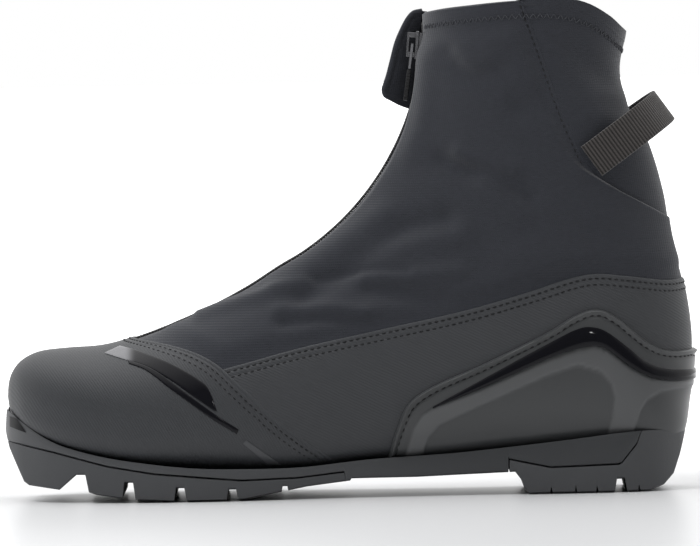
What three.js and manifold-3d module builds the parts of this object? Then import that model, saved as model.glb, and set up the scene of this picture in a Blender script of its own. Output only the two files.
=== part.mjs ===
// A mid-height touring ski boot for a left foot, in millimetres.
// +Z is up, the toe points to -X and the outer side to -Y.
// The upper is a set of shells cut from one smooth body, laid over each other as on the real boot:
// outer panels, stiffeners, padded lining, laced throat and tongue. Below it is a cup sole with a toe bar.
import * as THREE from "three";
import { mergeVertices } from "three/addons/utils/BufferGeometryUtils.js";
import Module from "manifold-3d";

const wasm = await Module();
wasm.setup();

// ---------------------------------------------------------------------------------------------
// Driving dimensions
// ---------------------------------------------------------------------------------------------

const GAP = 0.3; // clearance between neighbours
const FAR = 400; // longer than the boot, for cutting tools

// The front zip runs round one arc, whose centre lies in front of the shin.
const ZIP = { x: -83.6, z: 201.9, radius: 115.8 };
const SLIDER_ANGLE = -5; // degrees below the arc's level radius, at the closed end of the zip

// Layers of the upper, as depths below its outer face.
const OUTER = [0, 1.5];
const ZIP_TAPE = [1.8, 2.4];
const STIFFENER = [1.8, 2.7];
const LACE = [2.8, 4.0];
const FACING = [4.3, 5.9];
const LINER = [3.0, 6.0];
const LINING_JOIN = -30; // where the vamp lining meets the two quarter linings
const TONGUE = [6.2, 9.2];
const COUNTER = [-2.2, -GAP]; // the moulded heel counter lies on the outside
const INLAY = [-3.1, -2.5]; // and the glossy inlay on the counter
const FILM = [-0.8, -GAP]; // a glossy film on the toe cap

const ZIP_HALF = 4.6; // half of the gap between the two cover panels
const CHAIN = { inner: 0.25, outer: 2.0, depth: 2.3 };
const THROAT_HALF = 24;
const THROAT_FROM = 0.34; // where the throat starts, as a place along the body
const BOARD = { low: 2.1, high: 4.2 }; // lasting board, above the base line of the upper
const LINER_FLOOR = { low: 4.5, high: 7.2 };
const FOOTBED = { low: 7.5, high: 11.5 };
const COLLAR_HEM = 3.2;
const SHANK = { low: 0.4, high: 1.8, front: -20, rear: 96, half: 9 };
const LASTING_MARGIN = 14; // how far the upper turns in under the lasting board
const TONGUE_START = 0.28; // where the tongue is sewn in, as a place along the body
const TONGUE_OVERLAP = 4; // how far each side of the tongue runs under the lining
const THROAT_DEPTH = 32; // how deep the throat is cut below the crest of the body
const LACE_HALF = 1.4; // half the width of the lace
const LACE_THICK = 3.2;
const FACING_HALF = 4.5; // half the width of a lace facing, with the eyelets on its middle
const TAPE_EDGE = 10; // the outer edge of each zip tape, from the centre plane

const LACE_ROWS = [-12, -24, -36, -48, -60]; // in degrees round the zip's arc
const EYELET = { y: 18.5, seat: 22.5, radius: 2.5, bore: 1.3, height: 1.1 };

const TOE_BAR = { x: -133.5, z: 12, radius: 2, half: 20 };
const BAR_RECESS = { rear: -126.6, half: 17, ceiling: 18.6 };
const PULLER_LEAN = 3; // degrees that the hanging puller stands out from the slider's own line
const STRAP_POWER = 2.6; // how square the loop's bend is
const STRAP = { x: 103.8, z: 141.1, rise: 35.5, reach: 40, half: 36.4, width: 15.4, thick: 1.5 };
const FLAP = { x: 27.4, y: 11.5, z: 166, lean: 8.4, splay: 28, thick: 1.6 };

// ---------------------------------------------------------------------------------------------
// The body of the upper
// ---------------------------------------------------------------------------------------------

const radians = THREE.MathUtils.degToRad;

// A point on the zip's arc, at an angle in degrees and a depth below the outer face.
function onArc(angle, depth = 0) {
  const r = ZIP.radius + depth;
  return [ZIP.x + r * Math.cos(radians(angle)), ZIP.z + r * Math.sin(radians(angle))];
}

// Sections of the body, from the toe tip to above the collar. Each is a ring through a top point and a
// base point in the side view: its half width, its centre line's shift, how far down from the top it is
// widest, and how square it is above and below that. Each row is in that order.
const STATIONS = [
  [[-148.3, 44.5], [-148.3, 43.5], 0.0, 5.0, 0.5, 2.4, 2.4],
  [[-147.6, 50.5], [-147.0, 37.5], 13, 4.9, 0.58, 2.5, 2.4],
  [[-145.6, 55.6], [-144.0, 33.0], 22, 4.7, 0.62, 2.6, 2.6],
  [[-141.6, 60.0], [-138.8, 28.2], 31, 4.3, 0.63, 2.6, 2.9],
  [[-134.0, 63.3], [-130.5, 23.6], 39, 3.7, 0.64, 2.6, 3.2],
  [[-122.0, 64.6], [-118.5, 19.0], 45.5, 2.8, 0.65, 2.55, 3.4],
  [[-107.0, 65.6], [-103.0, 15.4], 49.5, 1.8, 0.66, 2.4, 3.6],
  [[-93.0, 69.2], [-87.0, 12.8], 51.3, 0.8, 0.66, 2.2, 3.6],
  [[-76.0, 75.3], [-66.0, 11.2], 51.3, 0.0, 0.66, 2.05, 3.6],
  [[-58.5, 83.0], [-42.0, 10.2], 49.5, -0.6, 0.66, 2.0, 3.6],
  [[-44.0, 90.6], [-18.0, 10.6], 46.5, -0.8, 0.65, 1.95, 3.6],
  [onArc(-63), [8, 12.8], 43.5, -0.8, 0.62, 1.9, 3.6],
  [onArc(-57), [34, 14.2], 41.5, -0.6, 0.6, 1.9, 3.6],
  [onArc(-51), [60, 15.4], 40.5, -0.4, 0.57, 1.9, 3.7],
  [onArc(-45), [87, 16], 40, -0.2, 0.54, 1.9, 3.8],
  [onArc(-39), [114, 16.6], 39.5, 0, 0.52, 1.95, 3.6],
  [onArc(-33), [138, 20], 38.5, 0, 0.5, 2.0, 3.0],
  [onArc(-27.5), [144.2, 40], 38, 0, 0.5, 2.0, 2.5],
  [onArc(-22.5), [146.8, 63], 37.5, 0, 0.5, 2.0, 2.2],
  [onArc(-17.5), [144.2, 87], 37.2, 0, 0.5, 2.05, 2.1],
  [onArc(-12.5), [139.2, 107.5], 37, 0, 0.5, 2.05, 2.1],
  [onArc(-7.5), [136.2, 127.5], 37.5, 0, 0.5, 2.1, 2.1],
  [onArc(-3), [130.4, 148], 38.3, 0, 0.49, 2.1, 2.1],
  [onArc(0), [121.8, 164], 39, 0, 0.48, 2.15, 2.15],
  [[32.0, 208], [118.6, 180], 39.5, 0, 0.48, 2.15, 2.15],
  [[31.6, 215], [122, 196], 40, 0, 0.48, 2.2, 2.2],
  [[31.0, 223], [127, 212], 41, 0, 0.48, 2.2, 2.2],
].map(([top, base, half, shift, widest, topPower, basePower]) => {
  return { top, base, half, shift, widest, topPower, basePower };
});

// A smooth curve through evenly spaced values, read at u from 0 to 1.
function along(values, u) {
  const at = u * (values.length - 1);
  const i = Math.min(Math.floor(at), values.length - 2);
  const t = at - i;
  const [b, c] = [values[i], values[i + 1]];
  const a = values[i - 1] ?? 2 * b - c;
  const d = values[i + 2] ?? 2 * c - b;
  return b + 0.5 * t * (c - a + t * (2 * a - 5 * b + 4 * c - d + t * (3 * (b - c) + d - a)));
}

function section(u) {
  const read = (pick) => along(STATIONS.map(pick), u);
  return {
    top: [read((s) => s.top[0]), read((s) => s.top[1])],
    base: [read((s) => s.base[0]), read((s) => s.base[1])],
    half: read((s) => s.half),
    shift: read((s) => s.shift),
    widest: read((s) => s.widest),
    topPower: read((s) => s.topPower),
    basePower: read((s) => s.basePower),
  };
}

// A point of the body at section s, turned by angle a round it: 0 on top, a quarter turn on the outer side.
function pointOn(s, a) {
  const [c, w] = [Math.cos(a), Math.sin(a)];
  const power = c >= 0 ? s.topPower : s.basePower;
  const r = (Math.abs(c) ** power + Math.abs(w) ** power) ** (-1 / power);
  const mid = [0, 1].map((k) => s.top[k] + (s.base[k] - s.top[k]) * s.widest);
  const end = c >= 0 ? s.top : s.base;
  const reach = Math.abs(r * c);
  return [mid[0] + (end[0] - mid[0]) * reach, s.shift - s.half * r * w, mid[1] + (end[1] - mid[1]) * reach];
}

// ---------------------------------------------------------------------------------------------
// Solids
// ---------------------------------------------------------------------------------------------

function solid(geometry) {
  const bare = new THREE.BufferGeometry().setAttribute("position", geometry.getAttribute("position"));
  if (geometry.index) bare.setIndex(geometry.index);
  const { attributes, index } = mergeVertices(bare, 1e-4);
  const triVerts = new Uint32Array(index.array);
  const vertProperties = attributes.position.array;
  return new wasm.Manifold(new wasm.Mesh({ numProp: 3, vertProperties, triVerts }));
}

const RINGS = 26;
const AROUND = 24;

// The closed body as a geometry: a tip, rings round each section and a flat end above the collar.
function bodyGeometry() {
  const points = [STATIONS[0].top[0], STATIONS[0].shift, STATIONS[0].top[1] - 0.5];
  for (let i = 1; i <= RINGS; i++) {
    const s = section(i / RINGS);
    for (let j = 0; j < AROUND; j++) points.push(...pointOn(s, (2 * Math.PI * j) / AROUND));
  }
  const { top, base, shift } = STATIONS.at(-1);
  points.push((top[0] + base[0]) / 2, shift, (top[1] + base[1]) / 2);
  const faces = [];
  const last = points.length / 3 - 1;
  const at = (i, j) => 1 + (i - 1) * AROUND + (j % AROUND);
  for (let j = 0; j < AROUND; j++) {
    faces.push(0, at(1, j + 1), at(1, j));
    faces.push(last, at(RINGS, j), at(RINGS, j + 1));
    for (let i = 1; i < RINGS; i++) {
      faces.push(at(i, j), at(i, j + 1), at(i + 1, j + 1));
      faces.push(at(i, j), at(i + 1, j + 1), at(i + 1, j));
    }
  }
  const geometry = new THREE.BufferGeometry();
  geometry.setAttribute("position", new THREE.Float32BufferAttribute(points, 3));
  geometry.setIndex(faces);
  geometry.computeVertexNormals();
  return geometry;
}

const BODY = bodyGeometry();

// The body with its surface moved inwards by a depth, or outwards where the depth is negative.
function bodyAt(depth) {
  const moved = BODY.clone();
  const { position, normal } = moved.attributes;
  for (let i = 0; i < position.count; i++) {
    const [x, y, z] = [position.getX(i), position.getY(i), position.getZ(i)];
    position.setXYZ(i, x - depth * normal.getX(i), y - depth * normal.getY(i), z - depth * normal.getZ(i));
  }
  return solid(moved);
}

const shell = ([from, to]) => bodyAt(from).subtract(bodyAt(to));

function shapeOf(points) {
  return new THREE.Shape(points.map(([x, y]) => new THREE.Vector2(x, y)));
}

// Points along a smooth curve through the given ones.
function smooth(points, count) {
  return new THREE.SplineCurve(points.map(([x, y]) => new THREE.Vector2(x, y)))
    .getPoints(count)
    .map((p) => [p.x, p.y]);
}

// A prism whose outline is drawn in the side view, between two widths.
function sidePrism(outline, from = -FAR, to = FAR) {
  const geometry = new THREE.ExtrudeGeometry(shapeOf(outline), { depth: to - from, bevelEnabled: false });
  return solid(geometry.rotateX(Math.PI / 2).translate(0, to, 0));
}

// A prism whose outline is drawn in plan, between two heights.
function planPrism(outline, from = -FAR, to = FAR) {
  const geometry = new THREE.ExtrudeGeometry(shapeOf(outline), { depth: to - from, bevelEnabled: false });
  return solid(geometry.translate(0, 0, from));
}

function block(x0, x1, y0, y1, z0, z1) {
  const geometry = new THREE.BoxGeometry(x1 - x0, y1 - y0, z1 - z0);
  return solid(geometry.translate((x0 + x1) / 2, (y0 + y1) / 2, (z0 + z1) / 2));
}

const SIDES = [["outer", -1], ["inner", 1]];

// Everything between two distances from the centre plane, on one side of it.
function strip(sign, from, to) {
  const [low, high] = [sign * from, sign * to].sort((a, b) => a - b);
  return block(-FAR, FAR, low, high, -FAR, FAR);
}

const OUTER_SIDE = block(-FAR, FAR, -FAR, -GAP / 2, -FAR, FAR);
const INNER_SIDE = block(-FAR, FAR, GAP / 2, FAR, -FAR, FAR);

// Everything within, or beyond, a half width of the centre plane.
const within = (half) => block(-FAR, FAR, -half, half, -FAR, FAR);

// Points along the crest of the body in the side view, from one place to another, at a depth below it.
function crest(from, to, depth, steps = 12) {
  const points = [];
  for (let i = 0; i <= steps; i++) {
    const u = from + ((to - from) * i) / steps;
    const [p, q] = [section(u - 1e-3).top, section(u + 1e-3).top];
    const [dx, dz] = [q[0] - p[0], q[1] - p[1]];
    const length = Math.hypot(dx, dz);
    points.push([(p[0] + q[0]) / 2 + (depth * dz) / length, (p[1] + q[1]) / 2 - (depth * dx) / length]);
  }
  return points;
}

// The place along the body, from 0 to 1, of an angle on the zip's arc.
function placeOf(angle) {
  const angles = STATIONS.map(({ top: [x, z] }) => (Math.atan2(z - ZIP.z, x - ZIP.x) * 180) / Math.PI);
  const i = angles.findIndex((a) => a > angle);
  return (i - 1 + (angle - angles[i - 1]) / (angles[i] - angles[i - 1])) / (STATIONS.length - 1);
}

const crestBand = (from, to, shallow, deep) => [...crest(from, to, shallow), ...crest(to, from, deep)];

// ---------------------------------------------------------------------------------------------
// Seams of the upper, drawn in the side view
// ---------------------------------------------------------------------------------------------

const VAMP_EDGE = smooth(
  [[-95, 74], [-93.7, 69], [-84, 67.3], [-73.5, 64.6], [-64, 60.8], [-56, 55.6], [-48.5, 48.2],
  [-35, 35.4], [-21, 23.8],
    [-9.5, 15.2], [-2, 9]],
  16,
);
const QUARTER_TOP = smooth(
  [[-62, 54], [-43, 59], [-21, 64.5], [13, 71.4], [48, 78.5], [74.4, 85.5], [91.9, 90.9], [104, 93.1],
  [118, 91.9],
    [135, 89.7], [155, 90.6]],
  14,
);
const COLLAR_SEAM = smooth(
  [[73, 222], [76, 208.7], [82.8, 189.5], [90.9, 164.9], [97, 150], [103.5, 137.6], [117, 128],
  [131, 120.7], [152, 110]],
  12,
);
const COLLAR_TOP = smooth(
  [[5, 204], [27.4, 205.2], [43, 207.6], [68.8, 209.7], [88, 209.6], [101, 206.9], [111.8, 200.9],
  [121.7, 192.6],
    [138, 178]],
  14,
);
const COUNTER_EDGE = smooth(
  [[12.5, 8], [14.6, 16.4], [19, 29.5], [24, 39.5], [34.8, 46.8], [56.8, 56], [83, 68.3],
  [95.5, 75.6], [104.5, 78],
    [113, 74.5], [126.9, 63], [136, 59.4], [155, 60]],
  20,
);
const INLAY_TOP = smooth(
  [[34, 38], [56.8, 49.9], [83, 63.4], [96.3, 69.7], [103.5, 70.2], [109.5, 67.6], [118.2, 60.6],
  [125.2, 54.7],
    [134, 51.5], [155, 50.6]],
  14,
);
const INLAY_LOW = smooth(
  [[34, 37.4], [55, 45.5], [83, 57.3], [96.5, 61.6], [104.5, 62.3], [110, 59.8], [118.2, 53.1], [127, 48.3],
    [135.7, 46.8], [155, 47]],
  14,
);
const FEATHER = smooth(
  [[-158, 46], [-148.5, 39.3], [-140.6, 33.2], [-130.7, 26.8], [-120, 22.6], [-101, 18.2],
  [-71.4, 14.3], [-47, 13.3],
    [-21.5, 13.4], [7, 16], [46.4, 18.2], [90.3, 22.5], [112, 24.9], [128, 25.8], [158, 25.4]],
  22,
);

// The base line of the upper, whose height any floor layer adds to.
const BASE_LINE = smooth(
  [[-160, 48], [-148.3, 40], [-144, 33], [-138.8, 28.2], [-130.5, 23.6], [-118.5, 19], [-103, 15.4],
  [-87, 12.8],
    [-66, 11.2], [-42, 10.2], [-18, 10.6], [8, 12.8], [34, 14.2], [60, 15.4], [114, 16.6], [138, 19],
    [160, 21]],
  20,
);

const raised = (line, by) => line.map(([x, z]) => [x, z + by]);
const below = (line) => [...line, [FAR, line.at(-1)[1]], [FAR, -FAR], [-FAR, -FAR], [-FAR, line[0][1]]];
const above = (line) => [...line, [FAR, line.at(-1)[1]], [FAR, FAR], [-FAR, FAR], [-FAR, line[0][1]]];
const moved = (line, dx, dz = 0) => line.map(([x, z]) => [x + dx, z + dz]);

// In front of the toe cap's rear edge, and behind the collar's seam.
const aheadOf = (line) => [...line, [line.at(-1)[0], -FAR], [-FAR, -FAR], [-FAR, FAR], [line[0][0], FAR]];
const behind = (line) => [...line, [FAR, line.at(-1)[1]], [FAR, FAR], [line[0][0], FAR]];

const VAMP_REGION = sidePrism(aheadOf(VAMP_EDGE));
const VAMP_REGION_WIDER = sidePrism(aheadOf(moved(VAMP_EDGE, GAP, GAP)));
const QUARTER_REGION = sidePrism(below(QUARTER_TOP));
const QUARTER_REGION_WIDER = sidePrism(below(raised(QUARTER_TOP, GAP)));
const COLLAR_REGION = sidePrism(behind(moved(COLLAR_SEAM, GAP / 2, GAP / 2)));
const COLLAR_REGION_WIDER = sidePrism(behind(moved(COLLAR_SEAM, -GAP / 2, -GAP / 2)));
const UNDER_COLLAR = sidePrism(below(raised(COLLAR_TOP, -COLLAR_HEM - GAP)));
const HEM_BAND = sidePrism(below(COLLAR_TOP)).subtract(sidePrism(below(raised(COLLAR_TOP, -COLLAR_HEM))));
const ABOVE_FEATHER = sidePrism(above(raised(FEATHER, GAP)));

// ---------------------------------------------------------------------------------------------
// Sole
// ---------------------------------------------------------------------------------------------

// The sole's outline in plan, the same on both sides of a centre line that bends inwards at the toe.
const SOLE_HALF = [
  [-149.6, 0], [-148.8, 9], [-146.3, 17], [-141, 25.5], [-130, 35.5], [-115, 43.5], [-95, 49],
  [-72, 51], [-50, 49.5],
  [-25, 44], [5, 38.5], [40, 36.5], [75, 37.5], [100, 37.5], [118, 34.5], [131, 27.5], [139.5, 17],
  [142.3, 8.5],
  [143, 0],
];
const centreShift = (x) => (x < -60 ? 5 * ((-60 - x) / 90) ** 1.3 : 0);

// The sole's outline in plan, or the outline of an opening a margin inside it.
function soleOutline(margin = 0) {
  const half = smooth(SOLE_HALF, 24).filter(([x, y]) => margin === 0 || (y > margin + 4 && x < 143 - margin));
  const outer = half.map(([x, y]) => [x, centreShift(x) - Math.max(0, y - margin)]);
  const inner = half.map(([x, y]) => [x, centreShift(x) + Math.max(0, y - margin)]);
  const ends = margin === 0 ? inner.slice(1, -1) : inner;
  return [...outer, ...ends.reverse()];
}

// The sole's underside from toe to heel, with its lugs as [left, right, foot, ceiling] gaps cut later.
const UNDERSIDE = [
  [-148.6, 39.2], [-149.6, 30], [-147.6, 22.5], [-141.2, 8.4], [-139, 6.9], [-125.6, 5.2],
  [-118.2, 11.6], [-114.4, 11.6],
  [-113, 4.2], [-110, 3.2], [-96, 1.2], [-78, 0], [-56, 0], [-46, 0.4], [-20, 5], [-1.6, 7],
  [-1, 7.9], [27, 7.9],
  [68.8, 9.3], [71.6, 5.6], [72.6, 2.2], [74.8, 0], [126.5, 0], [132.5, 2.2], [137, 6.8], [140, 15],
  [143, 25.4],
];
const LUG_GAPS = [
  [-98.4, -93.2, 8.2], [-76.4, -71.4, 5.6], [-54.2, -49.4, 4.6], [-31.2, -27.6, 5.4], [111.4, 116.4, 5.4],
];
const SMALL_GAPS = [84, 94.5, 103.6, 121.6];

// The line between the sole's upper band and its treads.
const BAND_LINE = [
  [-160, 28], [-128, 21], [-105, 15], [-85, 11.6], [-48, 8.2], [-24, 8.6], [-4, 10.6], [-3.4, 6],
];
const HEEL_LINE = [[66, 14.6], [84, 10.8], [114, 11.6], [121, 20], [123.5, 27], [160, 27]];

function lugGap(left, right, ceiling) {
  return sidePrism([[left - 1, -5], [left + 0.8, ceiling], [right - 0.8, ceiling], [right + 1, -5]]);
}

function soleBlank() {
  const feather = FEATHER.filter(([x]) => x > -148 && x < 142);
  const profile = [...UNDERSIDE, ...feather.reverse()];
  const full = sidePrism(profile).intersect(planPrism(soleOutline(), -5, 60));
  return full.subtract(bodyAt(-GAP));
}

// Two grooves that ride on the binding's rails, open at the underside of the front tread.
function guideGrooves() {
  const section = [[-3.4, -5], [-2.8, 5.6], [2.8, 5.6], [3.4, -5]];
  const groove = (y) => {
    const geometry = new THREE.ExtrudeGeometry(shapeOf(section), { depth: 108, bevelEnabled: false });
    geometry.rotateX(Math.PI / 2).rotateZ(Math.PI / 2).translate(-122, y, 0);
    return solid(geometry);
  };
  return groove(-13.5).add(groove(13.5));
}

function toeBar(grow) {
  const radius = TOE_BAR.radius + grow;
  const rod = new THREE.CylinderGeometry(radius, radius, 2 * (TOE_BAR.half + grow), 16);
  return rod.translate(TOE_BAR.x, 0, TOE_BAR.z);
}

function makeSole() {
  const grooves = guideGrooves();
  let blank = soleBlank();
  for (const [left, right, ceiling] of LUG_GAPS) blank = blank.subtract(lugGap(left, right, ceiling));
  for (const x of SMALL_GAPS) blank = blank.subtract(sidePrism([[x - 1.2, -5], [x, 2.6], [x + 1.6, -5]]));
  blank = blank.subtract(grooves);
  const ahead = (line) => [...line, [line.at(-1)[0], -FAR], [-FAR, -FAR], [-FAR, line[0][1]]];
  const foreRegion = sidePrism(ahead(BAND_LINE));
  const foreWider = sidePrism(ahead(moved(BAND_LINE, GAP, GAP)));
  const heel = (line) => [[line[0][0], -FAR], ...line, [FAR, line.at(-1)[1]], [FAR, -FAR]];
  const heelRegion = sidePrism(heel(HEEL_LINE));
  const heelWider = sidePrism(heel(moved(HEEL_LINE, -GAP, GAP)));
  const recess = block(-FAR, BAR_RECESS.rear, -BAR_RECESS.half, BAR_RECESS.half, -5, BAR_RECESS.ceiling);
  const barBore = solid(toeBar(GAP));
  const fore = blank.intersect(foreRegion).subtract(recess).subtract(barBore);
  const band = blank.subtract(foreWider).subtract(heelWider).subtract(recess);
  return { fore, band, heel: blank.intersect(heelRegion) };
}

// ---------------------------------------------------------------------------------------------
// Assembly
// ---------------------------------------------------------------------------------------------

function finish(color, roughness, metalness = 0) {
  return new THREE.MeshStandardMaterial({ color, roughness, metalness });
}

const MATERIALS = {
  cover: finish(0x2d2f36, 0.85),
  leather: finish(0x3e3f41, 0.6),
  counter: finish(0x464749, 0.5),
  gloss: finish(0x0f1013, 0.08),
  sole: finish(0x424345, 0.6),
  webbing: finish(0x3c3832, 0.9),
  lining: finish(0x1b1c1f, 0.95),
  board: finish(0x7b6a52, 0.9),
  footbed: finish(0x2b2c30, 0.85),
  stiffener: finish(0x8c8878, 0.7),
  coil: finish(0x141518, 0.5),
  metal: finish(0x53555a, 0.3, 1),
  steel: finish(0xb9bcc0, 0.25, 1),
  hook: finish(0x101113, 0.9),
};

const boot = new THREE.Group();

function geometryOf(shape) {
  const { vertProperties, triVerts } = shape.getMesh();
  const geometry = new THREE.BufferGeometry();
  geometry.setAttribute("position", new THREE.BufferAttribute(vertProperties, 3));
  geometry.setIndex(new THREE.BufferAttribute(triVerts, 1));
  geometry.computeVertexNormals();
  return geometry;
}

// Adds one sub-part, given as a solid or as a geometry.
function piece(name, shape, material, parent = boot) {
  const mesh = new THREE.Mesh(shape.isBufferGeometry ? shape : geometryOf(shape), MATERIALS[material]);
  mesh.name = name;
  parent.add(mesh);
}

function addUpper() {
  const outer = shell(OUTER);
  const underfoot = sidePrism(below(raised(BASE_LINE, 5)));
  const lasting = planPrism(soleOutline(LASTING_MARGIN), -FAR, 60).intersect(underfoot);
  const skin = outer.subtract(lasting);
  const front = within(ZIP_HALF).intersect(sidePrism(crestBand(0.2, 1, -6, 6)));
  const sides = { outer: OUTER_SIDE, inner: INNER_SIDE };

  piece("toe_cap", skin.intersect(VAMP_REGION), "leather");
  const rest = skin.subtract(VAMP_REGION_WIDER);
  const cover = rest.subtract(QUARTER_REGION_WIDER).intersect(UNDER_COLLAR);
  const beside = cover.subtract(COLLAR_REGION_WIDER).subtract(front);
  for (const [side, half] of Object.entries(sides)) {
    piece(`quarter_${side}`, rest.intersect(QUARTER_REGION).intersect(half), "leather");
    piece(`zip_cover_${side}`, beside.intersect(half), "cover");
  }
  piece("collar_panel_rear", cover.intersect(COLLAR_REGION), "cover");
  const hem = bodyAt(0).subtract(bodyAt(LINER[1])).intersect(HEM_BAND);
  const zipMouth = within(ZIP_HALF).intersect(block(-FAR, 60, -FAR, FAR, -FAR, FAR));
  piece("collar_hem", hem.subtract(zipMouth), "cover");
}

function addStiffeners() {
  const layer = shell(STIFFENER);
  const puff = sidePrism([[-200, 30], [-120, 30], [-112, 90], [-200, 90]]);
  const overBoard = sidePrism(above(raised(BASE_LINE, BOARD.high + GAP)));
  piece("toe_puff", layer.intersect(puff).intersect(overBoard), "stiffener");
  const heel = sidePrism([[60, 31], [200, 31], [200, 80], [112, 84], [74, 52]]);
  piece("heel_stiffener", layer.intersect(heel), "stiffener");
}

function addHeelCounter() {
  const region = sidePrism([...COUNTER_EDGE, [FAR, 60], [FAR, -FAR], [12.5, -FAR]]).intersect(ABOVE_FEATHER);
  piece("heel_counter", shell(COUNTER).intersect(region), "counter");
  const band = sidePrism([...INLAY_TOP, ...[...INLAY_LOW].reverse()]);
  piece("heel_counter_inlay", shell(INLAY).intersect(band), "gloss");
}

function addToeFilm() {
  const ahead = [[-107, 80], [-105, 62.8], [-96, 59.8], [-79.6, 50], [-49, 28.8], [-35, 17]];
  const back = [
    [-30.5, 18.5], [-46, 33.5], [-57.6, 41.5], [-62, 50], [-68, 57], [-76, 61.8], [-90, 65.6], [-97, 80],
  ];
  const blade = sidePrism([...ahead, ...back]).intersect(ABOVE_FEATHER);
  piece("toe_cap_film", shell(FILM).intersect(blade), "gloss");
}

function addLiner() {
  const floor = (by) => sidePrism(above(raised(BASE_LINE, by)));
  const outside = bodyAt(LINER[0]).intersect(floor(LINER_FLOOR.low)).intersect(UNDER_COLLAR);
  const inside = bodyAt(LINER[1]).intersect(floor(LINER_FLOOR.high));
  const throat = within(THROAT_HALF).intersect(sidePrism(crestBand(THROAT_FROM, 1, -4, THROAT_DEPTH)));
  const padding = outside.subtract(inside).subtract(throat);
  const fore = block(-FAR, LINING_JOIN - GAP / 2, -FAR, FAR, -FAR, FAR);
  const rear = block(LINING_JOIN + GAP / 2, FAR, -FAR, FAR, -FAR, FAR);
  piece("lining_vamp", padding.intersect(fore), "lining");
  piece("lining_outer", padding.intersect(rear).intersect(OUTER_SIDE), "lining");
  piece("lining_inner", padding.intersect(rear).intersect(INNER_SIDE), "lining");

  const layer = (low, high, inset) => {
    const slab = sidePrism(above(raised(BASE_LINE, low))).subtract(sidePrism(above(raised(BASE_LINE, high))));
    return bodyAt(inset).intersect(slab);
  };
  piece("lasting_board", layer(BOARD.low, BOARD.high, OUTER[1] + GAP), "board");
  piece("footbed", layer(FOOTBED.low, FOOTBED.high, LINER[1] + GAP), "footbed");
  const shank = block(SHANK.front, SHANK.rear, -SHANK.half, SHANK.half, -FAR, FAR);
  piece("shank", layer(SHANK.low, SHANK.high, SHANK.low).intersect(shank), "steel");
}

// A matrix that sets something on the body: its Y axis along the outward normal.
function seat(angle, y, depth) {
  const s = section(placeOf(angle));
  let [low, high] = [0, Math.PI / 2];
  for (let i = 0; i < 30; i++) {
    const a = (low + high) / 2;
    if (Math.abs(pointOn(s, a)[1] - s.shift) < Math.abs(y)) low = a;
    else high = a;
  }
  const turn = -Math.sign(y) * low;
  const at = (u, a) => new THREE.Vector3(...pointOn(section(u), a));
  const point = at(placeOf(angle), turn);
  const forward = at(placeOf(angle) + 1e-3, turn).sub(point).normalize();
  const normal = at(placeOf(angle), turn + 1e-3).sub(point).cross(forward).normalize();
  const third = forward.clone().cross(normal);
  const centre = point.addScaledVector(normal, -depth);
  return new THREE.Matrix4().makeBasis(forward, normal, third).setPosition(centre);
}

function ring(radius, bore, height) {
  const profile = [[bore, -height / 2], [radius, -height / 2], [radius, height / 2], [bore, height / 2]];
  const points = [...profile, profile[0]].map(([x, y]) => new THREE.Vector2(x, y));
  return new THREE.LatheGeometry(points, 10);
}

function addLacing() {
  const band = sidePrism(crestBand(placeOf(-66), placeOf(-5), -4, THROAT_DEPTH));
  const facings = shell(FACING).intersect(band);
  const laced = shell(LACE).intersect(sidePrism(crestBand(placeOf(-61), placeOf(-11), -4, THROAT_DEPTH)));
  const run = (sign) => strip(sign, EYELET.y - LACE_HALF, EYELET.y + LACE_HALF);
  let runs = run(-1).add(run(1));
  for (const angle of LACE_ROWS) {
    const [x, z] = onArc(angle);
    const rung = new THREE.BoxGeometry(50, 2 * EYELET.y, LACE_THICK).rotateY(-radians(angle));
    runs = runs.add(solid(rung.translate(x, 0, z)));
  }
  piece("lace", laced.intersect(runs), "webbing");
  for (const [side, sign] of SIDES) {
    let facing = facings.intersect(strip(sign, EYELET.y - FACING_HALF, EYELET.y + FACING_HALF));
    LACE_ROWS.forEach((angle, i) => {
      const place = seat(angle, sign * EYELET.seat, (FACING[0] + FACING[1]) / 2);
      const hole = new THREE.CylinderGeometry(EYELET.radius + GAP, EYELET.radius + GAP, 8, 8);
      facing = facing.subtract(solid(hole.applyMatrix4(place)));
      const mesh = ring(EYELET.radius, EYELET.bore, EYELET.height).applyMatrix4(place);
      piece(`eyelet_${side}_${i + 1}`, mesh, "metal");
    });
    piece(`lace_facing_${side}`, facing, "leather");
  }
  const tongueBand = sidePrism(crestBand(TONGUE_START, 1, -4, THROAT_DEPTH)).intersect(UNDER_COLLAR);
  const tongueWidth = within(THROAT_HALF + TONGUE_OVERLAP);
  piece("tongue", shell(TONGUE).intersect(tongueBand).intersect(tongueWidth), "lining");
}

function addZip() {
  const room = UNDER_COLLAR.subtract(VAMP_REGION_WIDER);
  const chain = [...crest(0.2, 0.98, 0.2, 20), ...crest(0.98, 0.2, CHAIN.depth, 20)];
  const tape = sidePrism(crestBand(0.2, 0.98, -4, 8)).intersect(room);
  for (const [side, sign] of SIDES) {
    const layer = shell(ZIP_TAPE).intersect(tape).intersect(strip(sign, CHAIN.outer + GAP, TAPE_EDGE));
    piece(`zip_tape_${side}`, layer, "coil");
    const edges = [sign * CHAIN.inner, sign * CHAIN.outer].sort((a, b) => a - b);
    piece(`zip_chain_${side}`, sidePrism(chain, ...edges).intersect(room), "coil");
  }
}

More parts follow.
